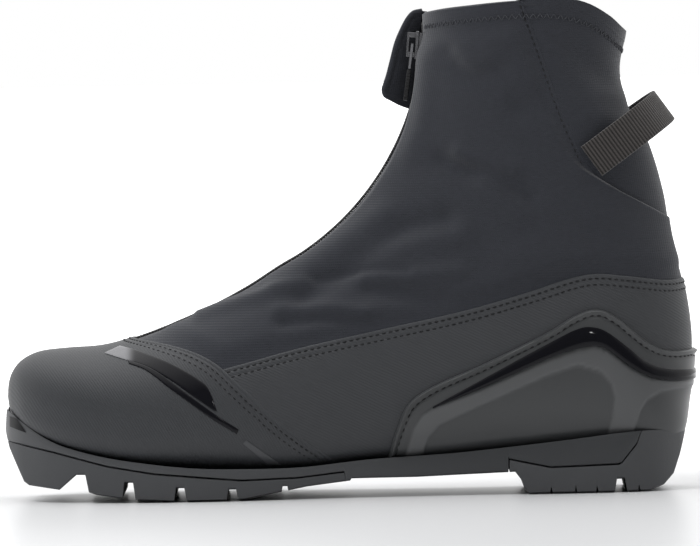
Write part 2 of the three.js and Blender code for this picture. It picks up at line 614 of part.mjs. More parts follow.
// The slider and its puller, drawn on a level radius of the zip and turned down to the closed end.
function addSlider() {
  const turned = new THREE.Group();
  turned.position.set(ZIP.x, 0, ZIP.z);
  turned.rotation.y = -radians(SLIDER_ANGLE);
  boot.add(turned);
  const face = ZIP.radius - 0.5;
  const plate = block(face - 1.3, face, -4.1, 4.1, -6, 6);
  const lip = (y) => block(face - 0.1, face + 1.5, y - 0.55, y + 0.55, -5.4, 5.4);
  const post = (z) => block(face - 4.2, face - 1.2, -1.1, 1.1, z - 1.1, z + 1.1);
  const bridge = block(face - 5, face - 4, -1.1, 1.1, -5.3, 5.3);
  const slider = plate.add(lip(-3.1)).add(lip(3.1)).add(post(-4.2)).add(post(4.2)).add(bridge);
  piece("zip_slider", slider, "metal", turned);

  // The puller hangs from a bar under the slider's bridge, so it turns about that bar.
  const hung = new THREE.Group();
  hung.position.set(face - 2.65, 0, 0);
  hung.rotation.y = radians(PULLER_LEAN);
  turned.add(hung);
  const link = new THREE.Shape();
  link.moveTo(-3.2, 0.55).lineTo(3.2, 0.55).lineTo(2.4, -10.4).lineTo(-2.4, -10.4);
  const slot = [[-1.7, -0.55], [-1.7, -6.6], [1.7, -6.6], [1.7, -0.55]];
  link.holes.push(new THREE.Path(slot.map((p) => new THREE.Vector2(...p))));
  piece("zip_puller", flatPiece(link, 1.1), "metal", hung);
  const grip = new THREE.Shape();
  grip.moveTo(2.6, -10.7).lineTo(1.7, -22.5).absarc(0, -22.5, 1.7, 0, -Math.PI, true).lineTo(-2.6, -10.7);
  piece("zip_puller_grip", flatPiece(grip, 1.9), "hook", hung);
}

// A flat plate drawn across the boot, as thick as given along X and centred on it.
function flatPiece(shape, thick) {
  const geometry = new THREE.ExtrudeGeometry(shape, { depth: thick, bevelEnabled: false, curveSegments: 8 });
  return geometry.translate(0, 0, -thick / 2).rotateX(Math.PI / 2).rotateZ(Math.PI / 2);
}

// The storm flap at the top of the zip stands open, hinged on the inner side of the cover.
function addFlap() {
  const flap = new THREE.Group();
  flap.position.set(FLAP.x, FLAP.y, FLAP.z);
  flap.rotation.set(0, radians(FLAP.lean), radians(FLAP.splay), "YZX");
  boot.add(flap);
  const edge = [[-1, -1.6], [-6, -0.6], [-10.3, 0.8], [-13.8, 2.1], [-15.3, 4.8], [-15.1, 7.4], [-14.2, 11.4],
    [-13.2, 18.8], [-12.2, 26], [-10.3, 32.2], [-8, 37.4], [-5.2, 40.6], [-1, 42]];
  const outline = shapeOf(smooth(edge, 20));
  const plate = new THREE.ExtrudeGeometry(outline, { depth: FLAP.thick, bevelEnabled: false });
  piece("zip_flap", plate.rotateX(Math.PI / 2), "cover", flap);
}

// The webbing pull loop: from the outer collar seam, round behind the heel, to the inner one.
function addPullLoop() {
  const bend = (half, reach) => {
    const points = [];
    for (let i = 0; i <= 24; i++) {
      const a = -Math.PI / 2 + (Math.PI * i) / 24;
      const [c, w] = [Math.cos(a), Math.sin(a)];
      const r = (Math.abs(c) ** STRAP_POWER + Math.abs(w) ** STRAP_POWER) ** (-1 / STRAP_POWER);
      points.push([reach * r * Math.max(0, c), half * r * w]);
    }
    return points;
  };
  const outer = bend(STRAP.half + STRAP.thick, STRAP.reach);
  const inner = bend(STRAP.half, STRAP.reach - STRAP.thick);
  const outline = shapeOf([...outer, ...inner.reverse()]);
  const loop = new THREE.ExtrudeGeometry(outline, { depth: STRAP.width, bevelEnabled: false });
  loop.translate(0, 0, -STRAP.width / 2).rotateY(-radians(STRAP.rise)).translate(STRAP.x, 0, STRAP.z);
  piece("pull_loop", loop, "webbing");
}

addUpper();
addStiffeners();
addHeelCounter();
addToeFilm();
addLiner();
addLacing();
addZip();
addSlider();
addFlap();
addPullLoop();

const sole = makeSole();
piece("sole_band", sole.band, "sole");
piece("tread_front", sole.fore, "sole");
piece("tread_heel", sole.heel, "sole");
piece("toe_bar", toeBar(0), "steel");

export default boot;
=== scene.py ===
# %% [markdown]
# # A cross country ski boot
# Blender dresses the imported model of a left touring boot: its outer side faces -Y and its toe points along -X.
# Every piece below is worked out in millimetres on one smooth shape, the last, and then scaled to metres.

from types import SimpleNamespace

import bmesh
import bpy
import numpy as np
from mathutils import Matrix, Vector


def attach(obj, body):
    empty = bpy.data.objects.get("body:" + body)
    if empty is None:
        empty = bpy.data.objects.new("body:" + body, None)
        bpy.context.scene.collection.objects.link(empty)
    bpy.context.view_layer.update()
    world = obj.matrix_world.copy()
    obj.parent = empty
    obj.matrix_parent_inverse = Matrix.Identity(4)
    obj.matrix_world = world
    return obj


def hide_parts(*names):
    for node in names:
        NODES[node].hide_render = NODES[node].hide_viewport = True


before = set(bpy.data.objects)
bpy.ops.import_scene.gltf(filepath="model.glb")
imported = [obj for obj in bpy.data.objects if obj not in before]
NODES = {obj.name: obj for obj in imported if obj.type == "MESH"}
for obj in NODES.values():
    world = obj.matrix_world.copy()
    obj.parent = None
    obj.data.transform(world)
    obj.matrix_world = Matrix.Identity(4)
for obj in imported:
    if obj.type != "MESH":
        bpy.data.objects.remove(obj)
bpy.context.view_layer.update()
MM = 0.001
print("nodes in the frame:", len(NODES))

# %% [markdown]
# ## Meshes from grids
# A sheet of material has two faces and an edge. Each one is made as a grid of points for its outer face, a
# second grid for its inner face, and a rim of quads that joins their borders, so that every piece is closed.


# %% Building meshes
def grid_quads(rows, columns, start=0, wrap=False):
    """Quads of a grid whose points are numbered row by row; wrap joins the last column to the first."""
    i = np.arange(rows - 1)[:, None]
    j = np.arange(columns if wrap else columns - 1)[None, :]
    k = (j + 1) % columns
    quads = np.stack([i * columns + j, (i + 1) * columns + j, (i + 1) * columns + k, i * columns + k], -1)
    return quads.reshape(-1, 4) + start


def sheet_quads(rows, columns):
    """Quads of two grids that lie back to back, and of the rim that joins their borders."""
    face = grid_quads(rows, columns)
    ring = np.concatenate([
        np.arange(rows - 1) * columns,
        (rows - 1) * columns + np.arange(columns - 1),
        (np.arange(rows - 1, 0, -1)) * columns + columns - 1,
        np.arange(columns - 1, 0, -1),
    ])
    count, after = rows * columns, np.roll(ring, -1)
    rim = np.stack([after, ring, ring + count, after + count], -1)
    return np.concatenate([face, face[:, ::-1] + count, rim])


def sheet_points(outer, inner):
    return np.concatenate([outer.reshape(-1, 3), inner.reshape(-1, 3)])


def build(name, points, quads, material, body="boot", replaces=(), marks=None, angle=40):
    """Makes a piece of the boot from points in millimetres and quads, closed and facing outwards."""
    mesh = bpy.data.meshes.new(name)
    mesh.vertices.add(len(points))
    mesh.vertices.foreach_set("co", (points * MM).astype(np.float32).ravel())
    mesh.loops.add(quads.size)
    mesh.loops.foreach_set("vertex_index", quads.astype(np.int32).ravel())
    mesh.polygons.add(len(quads))
    mesh.polygons.foreach_set("loop_start", np.arange(0, quads.size, 4, dtype=np.int32))
    for key, values in (marks or {}).items():
        values = np.asarray(values, np.float32)
        kind = "FLOAT_VECTOR" if values.ndim == 2 else "FLOAT"
        layer = mesh.attributes.new(key, kind, "POINT")
        layer.data.foreach_set("vector" if values.ndim == 2 else "value", values.ravel())
    mesh.update(calc_edges=True)
    work = bmesh.new()
    work.from_mesh(mesh)
    bmesh.ops.remove_doubles(work, verts=work.verts, dist=2e-6)
    bmesh.ops.dissolve_degenerate(work, edges=work.edges, dist=1e-6)
    if work.calc_volume(signed=True) < 0:
        bmesh.ops.reverse_faces(work, faces=work.faces)
    work.to_mesh(mesh)
    work.free()
    mesh.shade_smooth()
    mesh.set_sharp_from_angle(angle=np.radians(angle))
    mesh.materials.append(material)
    piece = bpy.data.objects.new(name, mesh)
    bpy.context.scene.collection.objects.link(piece)
    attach(piece, body)
    if replaces:
        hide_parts(*replaces)
    return piece


def build_sheet(name, outer, inner, material, **more):
    """A piece with two faces that lie back to back, each a grid of points."""
    return build(name, sheet_points(outer, inner), sheet_quads(*outer.shape[:2]), material, **more)


def build_ring(name, rings, material, **more):
    """A piece made of closed rings, one row of points for each."""
    return build(name, rings.reshape(-1, 3), grid_quads(len(rings), rings.shape[1], wrap=True), material, **more)


def capped(rings):
    """The rings with each end drawn in to its middle, so that the piece is closed."""
    ends = [np.repeat(rings[k].mean(0)[None, None], rings.shape[1], 1) for k in (0, -1)]
    return np.concatenate([ends[0], rings, ends[1]])


def sweep(path, across, up, profile):
    """Points of a closed profile carried along a path: path + s * across + t * up, closed at both ends."""
    profile = np.asarray(profile, float)
    rings = path[:, None] + profile[None, :, :1] * across[:, None] + profile[None, :, 1:] * up[:, None]
    return capped(rings)


def unit(v):
    return v / np.maximum(np.linalg.norm(v, axis=-1, keepdims=True), 1e-9)


print("mesh tools ready")

# %% [markdown]
# ## Finishes
# Cloth, coated leather and moulded rubber are all nearly black, so what tells them apart is how they scatter
# light. Each finish is a colour, a roughness and a stack of small bumps. The bumps come from a few shared
# groups: parallel ridges, a woven cross of two sets of ridges, and a random grain.


# %% Shared shader groups
def wire(tree, kind, inputs=None, **settings):
    """Adds a shader node. Inputs are sockets to link from, or values to set."""
    node = tree.nodes.new(kind)
    for key, value in settings.items():
        setattr(node, key, value)
    for key, value in (inputs or {}).items():
        if isinstance(value, bpy.types.NodeSocket):
            tree.links.new(value, node.inputs[key])
        else:
            node.inputs[key].default_value = value
    return node


def shader_group(name, inputs, outputs):
    tree = bpy.data.node_groups.new(name, "ShaderNodeTree")
    for label, kind in inputs:
        tree.interface.new_socket(label, in_out="INPUT", socket_type=kind)
    for label, kind in outputs:
        tree.interface.new_socket(label, in_out="OUTPUT", socket_type=kind)
    return tree, tree.nodes.new("NodeGroupInput"), tree.nodes.new("NodeGroupOutput")


def ridge_group():
    """Height = 0.5 + 0.5 sin(2 pi (Vector . Direction) / Pitch), with the lines shaken by a slow noise."""
    tree, given, out = shader_group(
        "parallel_ridges",
        [("Vector", "NodeSocketVector"), ("Direction", "NodeSocketVector"), ("Pitch", "NodeSocketFloat"),
         ("Shake", "NodeSocketFloat")],
        [("Height", "NodeSocketFloat")],
    )
    dot = wire(tree, "ShaderNodeVectorMath", {0: given.outputs["Vector"], 1: given.outputs["Direction"]},
               operation="DOT_PRODUCT")
    slow = wire(tree, "ShaderNodeTexNoise", {"Vector": given.outputs["Vector"], "Scale": 90.0, "Detail": 2.0})
    shaken = wire(tree, "ShaderNodeMath", {0: slow.outputs["Fac"], 1: given.outputs["Shake"], 2: dot.outputs["Value"]},
                  operation="MULTIPLY_ADD")
    turns = wire(tree, "ShaderNodeMath", {0: shaken.outputs[0], 1: given.outputs["Pitch"]}, operation="DIVIDE")
    phase = wire(tree, "ShaderNodeMath", {0: turns.outputs[0], 1: 6.28318}, operation="MULTIPLY")
    wave = wire(tree, "ShaderNodeMath", {0: phase.outputs[0]}, operation="SINE")
    height = wire(tree, "ShaderNodeMath", {0: wave.outputs[0], 1: 0.5, 2: 0.5}, operation="MULTIPLY_ADD")
    tree.links.new(height.outputs[0], out.inputs["Height"])
    return tree


def grain_group():
    """Height = fine noise pressed together with the cells of a hide."""
    tree, given, out = shader_group(
        "fine_grain",
        [("Vector", "NodeSocketVector"), ("Scale", "NodeSocketFloat")],
        [("Height", "NodeSocketFloat")],
    )
    noise = wire(tree, "ShaderNodeTexNoise",
                 {"Vector": given.outputs["Vector"], "Scale": given.outputs["Scale"], "Detail": 4.0})
    cells = wire(tree, "ShaderNodeTexVoronoi",
                 {"Vector": given.outputs["Vector"], "Scale": given.outputs["Scale"]}, feature="SMOOTH_F1")
    both = wire(tree, "ShaderNodeMath", {0: cells.outputs["Distance"], 1: 0.5, 2: noise.outputs["Fac"]},
                operation="MULTIPLY_ADD")
    tree.links.new(both.outputs[0], out.inputs["Height"])
    return tree


def tone_wear_and_highlight_group():
    """Color scaled by 1 + Spread * (noise - 0.5) * 2, then lightened where Edge is 1: wear along rolled edges, and a
    painted highlight on the webbing's rib crests.
    """
    tree, given, out = shader_group(
        "uneven_tone_wear_and_highlight",
        [("Vector", "NodeSocketVector"), ("Color", "NodeSocketColor"), ("Spread", "NodeSocketFloat"),
         ("Scale", "NodeSocketFloat"), ("Edge", "NodeSocketFloat"), ("Wear and Highlight", "NodeSocketFloat"),
         ("Roughness", "NodeSocketFloat")],
        [("Color", "NodeSocketColor"), ("Roughness", "NodeSocketFloat")],
    )
    noise = wire(tree, "ShaderNodeTexNoise",
                 {"Vector": given.outputs["Vector"], "Scale": given.outputs["Scale"], "Detail": 3.0})
    centred = wire(tree, "ShaderNodeMath", {0: noise.outputs["Fac"], 1: 0.5}, operation="SUBTRACT")
    swing = wire(tree, "ShaderNodeMath", {0: centred.outputs[0], 1: given.outputs["Spread"]}, operation="MULTIPLY")
    gain = wire(tree, "ShaderNodeMath", {0: swing.outputs[0], 1: 2.0, 2: 1.0}, operation="MULTIPLY_ADD")
    # Lightening where Edge is 1: wear along rolled edges, and a painted highlight on the webbing's rib crests.
    rubbed_and_lit = wire(tree, "ShaderNodeMath",
                  {0: given.outputs["Edge"], 1: given.outputs["Wear and Highlight"], 2: gain.outputs[0]}, operation="MULTIPLY_ADD")
    colour = wire(tree, "ShaderNodeVectorMath", {0: given.outputs["Color"], "Scale": rubbed_and_lit.outputs[0]},
                  operation="SCALE")
    rough = wire(tree, "ShaderNodeMath",
                 {0: swing.outputs[0], 1: 0.6, 2: given.outputs["Roughness"]}, operation="MULTIPLY_ADD",
                 use_clamp=True)
    tree.links.new(colour.outputs["Vector"], out.inputs["Color"])
    tree.links.new(rough.outputs[0], out.inputs["Roughness"])
    return tree


RIDGES, GRAIN, TONE_WEAR_AND_HIGHLIGHT = ridge_group(), grain_group(), tone_wear_and_highlight_group()


def ridges(direction, pitch, shake, height, source="object"):
    """Ridges across a direction, in metres; source "cloth" is distances along the piece, not the boot's axes."""
    return "ridges", source, direction, pitch, shake, height


def grain(scale, height):
    return "grain", "object", scale, height


def finish(name, slot, color, roughness, bumps=(), spread=0.15, scale=70.0, wear_and_highlight=0.0, raised=None, **shader):
    """A finish of one colour, mixed with another where the mark "raised" is 1, lightened where the mark "edge" is 1
    (wear along rolled edges, a painted highlight on the webbing's ribs), and its bumps.
    """
    material = bpy.data.materials.new(name)
    material["slot"] = slot
    material.use_nodes = True
    tree = material.node_tree
    surface = tree.nodes["Principled BSDF"]
    sources = {
        "object": wire(tree, "ShaderNodeTexCoord").outputs["Object"],
        "cloth": wire(tree, "ShaderNodeAttribute", attribute_name="cloth").outputs["Vector"],
    }
    edge = wire(tree, "ShaderNodeAttribute", attribute_name="edge").outputs["Fac"]
    base = (*color, 1)
    if raised:
        mask = wire(tree, "ShaderNodeAttribute", attribute_name="raised").outputs["Fac"]
        mix = wire(tree, "ShaderNodeMix", {"Factor": mask, 6: (*color, 1), 7: (*raised, 1)}, data_type="RGBA")
        base = mix.outputs[2]
    tone_wear_and_highlight = wire(tree, "ShaderNodeGroup", {
        "Vector": sources["object"], "Color": base, "Spread": spread, "Scale": scale, "Edge": edge, "Wear and Highlight": wear_and_highlight,
        "Roughness": roughness}, node_tree=TONE_WEAR_AND_HIGHLIGHT)
    tree.links.new(tone_wear_and_highlight.outputs["Color"], surface.inputs["Base Color"])
    tree.links.new(tone_wear_and_highlight.outputs["Roughness"], surface.inputs["Roughness"])
    before = None
    for kind, source, *numbers, height in bumps:
        keys = ("Direction", "Pitch", "Shake") if kind == "ridges" else ("Scale",)
        group = wire(tree, "ShaderNodeGroup", {"Vector": sources[source], **dict(zip(keys, numbers))},
                     node_tree=RIDGES if kind == "ridges" else GRAIN)
        bump = wire(tree, "ShaderNodeBump", {"Height": group.outputs["Height"], "Distance": height, "Strength": 1.0})
        if before:
            tree.links.new(before.outputs["Normal"], bump.inputs["Normal"])
        before = bump
    if before:
        tree.links.new(before.outputs["Normal"], surface.inputs["Normal"])
    for key, value in shader.items():
        surface.inputs[key.replace("_", " ")].default_value = value
    return material


# %% [markdown]
# The softshell is a plain weave bonded to fleece, so it gets two crossed sets of fine threads and a soft sheen.
# The synthetic leather is embossed with slanting ribs about a millimetre apart. The heel counter, the sole and
# the treads are moulded, with the faint grain of an etched mould. The inlay and the toe film are polished.

# %% The boot's finishes
SOFTSHELL = finish(
    "softshell_weave", "softshell", (0.029, 0.031, 0.038), 0.8, spread=0.16, scale=420.0, wear_and_highlight=0.15,
    bumps=[ridges((0, 0, 1), 0.0011, 0.0004, 0.00006), ridges((1, 0, 0.15), 0.0009, 0.0003, 0.00004),
           grain(2600.0, 0.00007)],
    Sheen_Weight=0.25, Sheen_Roughness=0.45, Specular_IOR_Level=0.25)
LEATHER = finish(
    "ribbed_synthetic_leather", "synthetic_leather", (0.04, 0.042, 0.046), 0.5, spread=0.06, scale=120.0, wear_and_highlight=0.35,
    bumps=[ridges((0.86, 0.12, 0.5), 0.00105, 0.0006, 0.00007), grain(3200.0, 0.00003)],
    Specular_IOR_Level=0.4)
QUARTER_LEATHER = finish(
    "quarter_synthetic_leather", "synthetic_leather", (0.042, 0.044, 0.048), 0.5, spread=0.06, scale=120.0, wear_and_highlight=0.35,
    bumps=[ridges((0.42, 0.1, 0.9), 0.00115, 0.0006, 0.00007), grain(3200.0, 0.00003)],
    Specular_IOR_Level=0.4)
COUNTER = finish(
    "moulded_counter", "moulded_counter", (0.046, 0.048, 0.05), 0.34, spread=0.04, scale=90.0, wear_and_highlight=0.3,
    raised=(0.085, 0.087, 0.09), bumps=[grain(2200.0, 0.00002)], Specular_IOR_Level=0.45)
# Where the mark "raised" is 1, this black gloss is painted pale grey: a painted reflection, used on the toe blade's
# upper end.
GLOSS = finish(
    "black_gloss", "gloss_film", (0.006, 0.006, 0.008), 0.07, spread=0.05, scale=200.0,
    raised=(0.2, 0.2, 0.21), bumps=[grain(500.0, 0.000006)], Specular_IOR_Level=0.18)
SATIN_FILM = finish(
    "satin_film", "gloss_film", (0.058, 0.06, 0.065), 0.45, spread=0.05,
    bumps=[grain(2000.0, 0.00001)])
SMOKED = finish(
    "smoked_plastic", "gloss_film", (0.005, 0.005, 0.006), 0.35, spread=0.1,
    bumps=[grain(900.0, 0.00001)], Specular_IOR_Level=0.1)
SOLE = finish(
    "moulded_sole_band", "sole_band", (0.06, 0.062, 0.066), 0.45, spread=0.05, scale=80.0, wear_and_highlight=0.3,
    raised=(0.038, 0.04, 0.043), bumps=[grain(2000.0, 0.00003)], Specular_IOR_Level=0.42)
TREAD = finish(
    "tread_rubber", "tread_rubber", (0.062, 0.064, 0.068), 0.55, spread=0.07, scale=80.0, wear_and_highlight=0.35,
    bumps=[grain(1600.0, 0.00004)], Specular_IOR_Level=0.38)
# The webbing's rib crests carry the mark "edge" and are painted up to six and a half times lighter than its near-black
# base: a painted highlight on each rib.
WEBBING = finish(
    "ribbed_webbing", "webbing", (0.011, 0.010, 0.0095), 0.85, spread=0.12, scale=900.0, wear_and_highlight=5.5,
    bumps=[ridges((0, 1, 0), 0.0008, 0.0002, 0.00008, "cloth"), grain(2400.0, 0.00008)],
    Sheen_Weight=0.3, Specular_IOR_Level=0.2)
LINING = finish(
    "brushed_lining", "lining", (0.014, 0.014, 0.016), 0.95, spread=0.25, scale=500.0,
    bumps=[grain(1500.0, 0.0002)], Sheen_Weight=0.4, Specular_IOR_Level=0.15)
FOOTBED = finish(
    "felt_footbed", "footbed", (0.03, 0.031, 0.035), 0.95, spread=0.3, scale=700.0,
    bumps=[grain(1800.0, 0.00025)], Sheen_Weight=0.3, Specular_IOR_Level=0.15)
FACING = finish(
    "smooth_facing", "facing", (0.03, 0.031, 0.033), 0.5, spread=0.08,
    bumps=[grain(2400.0, 0.00005)])
LACE = finish(
    "braided_lace", "lace_cord", (0.02, 0.02, 0.022), 0.8, spread=0.2, scale=800.0,
    bumps=[ridges((0.7, 0.7, 0.2), 0.0009, 0.0002, 0.0001),
           ridges((0.7, -0.7, 0.2), 0.0009, 0.0002, 0.0001)])
BOARD = finish(
    "fibre_board", "board", (0.18, 0.14, 0.09), 0.85, spread=0.25, scale=400.0,
    bumps=[grain(900.0, 0.00015)])
STIFFENER = finish(
    "thermoplastic_stiffener", "stiffener", (0.25, 0.23, 0.18), 0.6, spread=0.12, scale=200.0,
    bumps=[ridges((0.7, 0.7, 0), 0.0016, 0.0004, 0.00006), grain(1400.0, 0.00005)])
COIL = finish(
    "zip_coil", "zip_coil", (0.008, 0.008, 0.009), 0.4, spread=0.1,
    bumps=[ridges((0.6, 0, 0.8), 0.0007, 0.0001, 0.00008)])
ZIP_METAL = finish(
    "plated_zip_metal", "zip_metal", (0.2, 0.2, 0.21), 0.28, spread=0.2, scale=500.0, wear_and_highlight=0.5,
    bumps=[grain(900.0, 0.00002)], Metallic=1.0)
GRIP = finish(
    "puller_grip", "grip", (0.008, 0.008, 0.009), 0.5, spread=0.1,
    bumps=[ridges((0, 0, 1), 0.0014, 0.0, 0.0002)])
STEEL = finish(
    "ground_steel", "steel", (0.55, 0.56, 0.58), 0.22, spread=0.12, scale=300.0,
    bumps=[ridges((0, 1, 0), 0.0004, 0.0001, 0.00001)], Metallic=1.0)
THREAD = finish(
    "seam_thread", "lining", (0.006, 0.006, 0.007), 0.7, spread=0.15, scale=900.0,
    bumps=[ridges((0.6, 0.2, 0.75), 0.0005, 0.0, 0.00006)])
PALE_THREAD = finish(
    "zigzag_thread", "lining", (0.05, 0.052, 0.06), 0.7, spread=0.5, scale=900.0,
    bumps=[ridges((0.6, 0.2, 0.75), 0.0005, 0.0, 0.00006)])
print("finishes:", len(bpy.data.materials))

# %% [markdown]
# ## The last
# A shoe is pulled over a last, so every panel here lies on one body. The body is a ring carried from the toe
# tip to the collar: each section runs between a top point and a base point of the side view, and has its own
# half width and squareness. A place on it is (u, a): u along the boot, and a round it, with 0 on top, a quarter
# turn on the outer side and half a turn underneath or at the back.

# %% The body's surface
ZIP_X, ZIP_Z, ZIP_RADIUS = -83.6, 201.9, 115.8


def on_arc(degrees):
    return ZIP_X + ZIP_RADIUS * np.cos(np.radians(degrees)), ZIP_Z + ZIP_RADIUS * np.sin(np.radians(degrees))


# Each row: top x and z, base x and z, half width, shift, widest, power above, power below.
STATIONS = np.array([
    (-148.3, 44.5, -148.3, 43.5, 0, 5, 0.5, 2.4, 2.4), (-147.6, 50.5, -147, 37.5, 13, 4.9, 0.58, 2.5, 2.4),
    (-145.6, 55.6, -144, 33, 22, 4.7, 0.62, 2.6, 2.6), (-141.6, 60, -138.8, 28.2, 31, 4.3, 0.63, 2.6, 2.9),
    (-134, 63.3, -130.5, 23.6, 39, 3.7, 0.64, 2.6, 3.2), (-122, 64.6, -118.5, 19, 45.5, 2.8, 0.65, 2.55, 3.4),
    (-107, 65.6, -103, 15.4, 49.5, 1.8, 0.66, 2.4, 3.6), (-93, 69.2, -87, 12.8, 51.3, 0.8, 0.66, 2.2, 3.6),
    (-76, 75.3, -66, 11.2, 51.3, 0, 0.66, 2.05, 3.6), (-58.5, 83, -42, 10.2, 49.5, -0.6, 0.66, 2, 3.6),
    (-44, 90.6, -18, 10.6, 46.5, -0.8, 0.65, 1.95, 3.6), (*on_arc(-63), 8, 12.8, 43.5, -0.8, 0.62, 1.9, 3.6),
    (*on_arc(-57), 34, 14.2, 41.5, -0.6, 0.6, 1.9, 3.6), (*on_arc(-51), 60, 15.4, 40.5, -0.4, 0.57, 1.9, 3.7),
    (*on_arc(-45), 87, 16, 40, -0.2, 0.54, 1.9, 3.8), (*on_arc(-39), 114, 16.6, 39.5, 0, 0.52, 1.95, 3.6),
    (*on_arc(-33), 138, 20, 38.5, 0, 0.5, 2, 3), (*on_arc(-27.5), 144.2, 40, 38, 0, 0.5, 2, 2.5),
    (*on_arc(-22.5), 146.8, 63, 37.5, 0, 0.5, 2, 2.2), (*on_arc(-17.5), 144.2, 87, 37.2, 0, 0.5, 2.05, 2.1),
    (*on_arc(-12.5), 139.2, 107.5, 37, 0, 0.5, 2.05, 2.1), (*on_arc(-7.5), 136.2, 127.5, 37.5, 0, 0.5, 2.1, 2.1),
    (*on_arc(-3), 130.4, 148, 38.3, 0, 0.49, 2.1, 2.1), (*on_arc(0), 121.8, 164, 39, 0, 0.48, 2.15, 2.15),
    (32, 208, 118.6, 180, 39.5, 0, 0.48, 2.15, 2.15), (31.6, 215, 122, 196, 40, 0, 0.48, 2.2, 2.2),
    (31, 223, 127, 212, 41, 0, 0.48, 2.2, 2.2),
])


def along(table, u):
    """Rows of a table read at u from 0 to 1, on the smooth curve through them."""
    table = np.asarray(table, float)
    at = np.clip(u, 0, 1) * (len(table) - 1)
    i = np.minimum(at.astype(int), len(table) - 2)
    t = (at - i)[..., None]
    longer = np.concatenate([[2 * table[0] - table[1]], table, [2 * table[-1] - table[-2]]])
    a, b, c, d = (longer[i + k] for k in range(4))
    return b + 0.5 * t * (c - a + t * (2 * a - 5 * b + 4 * c - d + t * (3 * (b - c) + d - a)))


def body(u, a):
    """Points of the body: the section's middle, plus r(cos a) towards its end and r(sin a) half widths sideways."""
    u, a = np.broadcast_arrays(u, a)
    s = along(STATIONS, u)
    c, w = np.cos(a), np.sin(a)
    power = np.where(c >= 0, s[..., 7], s[..., 8])
    r = (np.abs(c) ** power + np.abs(w) ** power) ** (-1 / power)
    top, base = s[..., 0:2], s[..., 2:4]
    middle = top + (base - top) * s[..., 6:7]
    end = np.where((c >= 0)[..., None], top, base)
    side = middle + (end - middle) * np.abs(r * c)[..., None]
    return np.stack([side[..., 0], s[..., 5] - s[..., 4] * r * w, side[..., 1]], -1)


def slopes(u, a, step=2e-3):
    """How the body's point moves with u and with a."""
    along_u = (body(u + step, a) - body(u - step, a)) / (np.clip(u + step, 0, 1) - np.clip(u - step, 0, 1))[..., None]
    return along_u, (body(u, a + step) - body(u, a - step)) / (2 * step)


def normal(u, a):
    """The body's outward direction."""
    u, a = np.broadcast_arrays(u, a)
    by_u, by_a = slopes(np.maximum(u, 0.012), a)
    return unit(np.cross(by_a, by_u))


def locate(points, side=1):
    """The (u, a) of points of the side view, on the outer side (1) or the inner side (-1)."""
    places = np.linspace(0, 1, 1301)
    s = along(STATIONS, places)
    top, line = s[:, 0:2], s[:, 2:4] - s[:, 0:2]
    from_top = np.asarray(points, float)[:, None, :] - top[None]
    off = line[:, 0] * from_top[..., 1] - line[:, 1] * from_top[..., 0]
    share = (from_top * line).sum(-1) / np.maximum((line**2).sum(-1), 1e-9)
    meets = off[:, :-1] * off[:, 1:] <= 0
    i = np.argmin(np.abs(share[:, :-1] - 0.5) + 1e3 * ~meets, axis=1)
    row = np.arange(len(i))
    f = off[row, i] / np.where(off[row, i] == off[row, i + 1], 1, off[row, i] - off[row, i + 1])
    f = np.clip(f, 0, 1)
    u = places[i] + f * (places[1] - places[0])
    s = along(STATIONS, u)
    t = share[row, i] + f * (share[row, i + 1] - share[row, i])
    widest, above = s[:, 6], t < s[:, 6]
    v = np.clip(np.where(above, (widest - t) / widest, (t - widest) / (1 - widest)), 0, 1)
    power = np.where(above, s[:, 7], s[:, 8])
    a = np.arctan2((1 - v**power) ** (1 / power), np.where(above, v, -v))
    return np.stack([u, a * side], -1)


def line(points, count=120):
    """A smooth line of the side view through the given points."""
    return along(points, np.linspace(0, 1, count))


def trace(points, side=1, count=120):
    """A smooth line of the side view, laid on one side of the body."""
    return locate(line(points, count), side)


def lengths(curve):
    """How far each place of a curve on the body is from its start, in millimetres."""
    steps = np.linalg.norm(np.diff(body(*curve.T), axis=0), axis=1)
    return np.concatenate([[0], np.cumsum(steps)])


def even(curve, shares):
    """The curve's places at shares of its length."""
    far = lengths(curve)
    if far[-1] < 1e-6:
        return along(curve, shares)
    return np.stack([np.interp(shares * far[-1], far, curve[:, k]) for k in (0, 1)], -1)


def beside(curve, distance):
    """The curve moved sideways on the body by a distance in millimetres."""
    u, a = curve[:, 0], curve[:, 1]
    point = body(u, a)
    ahead = unit(np.gradient(point, axis=0))
    side = np.cross(normal(u, a), ahead) * distance
    by_u, by_a = slopes(u, a)
    m = np.stack([(by_u * by_u).sum(-1), (by_u * by_a).sum(-1), (by_a * by_a).sum(-1)])
    g = np.stack([(by_u * side).sum(-1), (by_a * side).sum(-1)])
    det = m[0] * m[2] - m[1] ** 2
    return curve + np.stack([(m[2] * g[0] - m[1] * g[1]) / det, (m[0] * g[1] - m[1] * g[0]) / det], -1)


# %% Seams, drawn in the side view
VAMP_EDGE = [(-93.7, 69), (-84, 67.3), (-73.5, 64.6), (-64, 60.8), (-56, 55.6), (-48.5, 48.2), (-35, 35.4), (-21, 23.8),
             (-9.5, 15.2), (-5.6, 12.2)]
QUARTER_TOP = [(-58, 55.2), (-43, 59), (-21, 64.5), (13, 71.4), (48, 78.5), (74.4, 85.5), (91.9, 90.9), (104, 93.1),
               (118, 91.9), (135, 89.7), (144, 90.2)]
COLLAR_SEAM = [(75.6, 209.9), (76, 208.7), (82.8, 189.5), (90.9, 164.9), (97, 150), (103.5, 137.6), (117, 128),
               (131, 120.7), (138, 117)]
COLLAR_TOP = [(27.4, 205.2), (43, 207.6), (68.8, 209.7), (88, 209.6), (101, 206.9), (111.8, 200.9), (118.4, 195.3),
              (121.7, 192.6)]
COUNTER_EDGE = [(14.0, 14), (14.6, 16.4), (19, 29.5), (24, 39.5), (34.8, 46.8), (56.8, 56), (83, 68.3), (95.5, 75.6),
                (104.5, 78), (113, 74.5), (126.9, 63), (136, 59.4), (147, 59.6)]
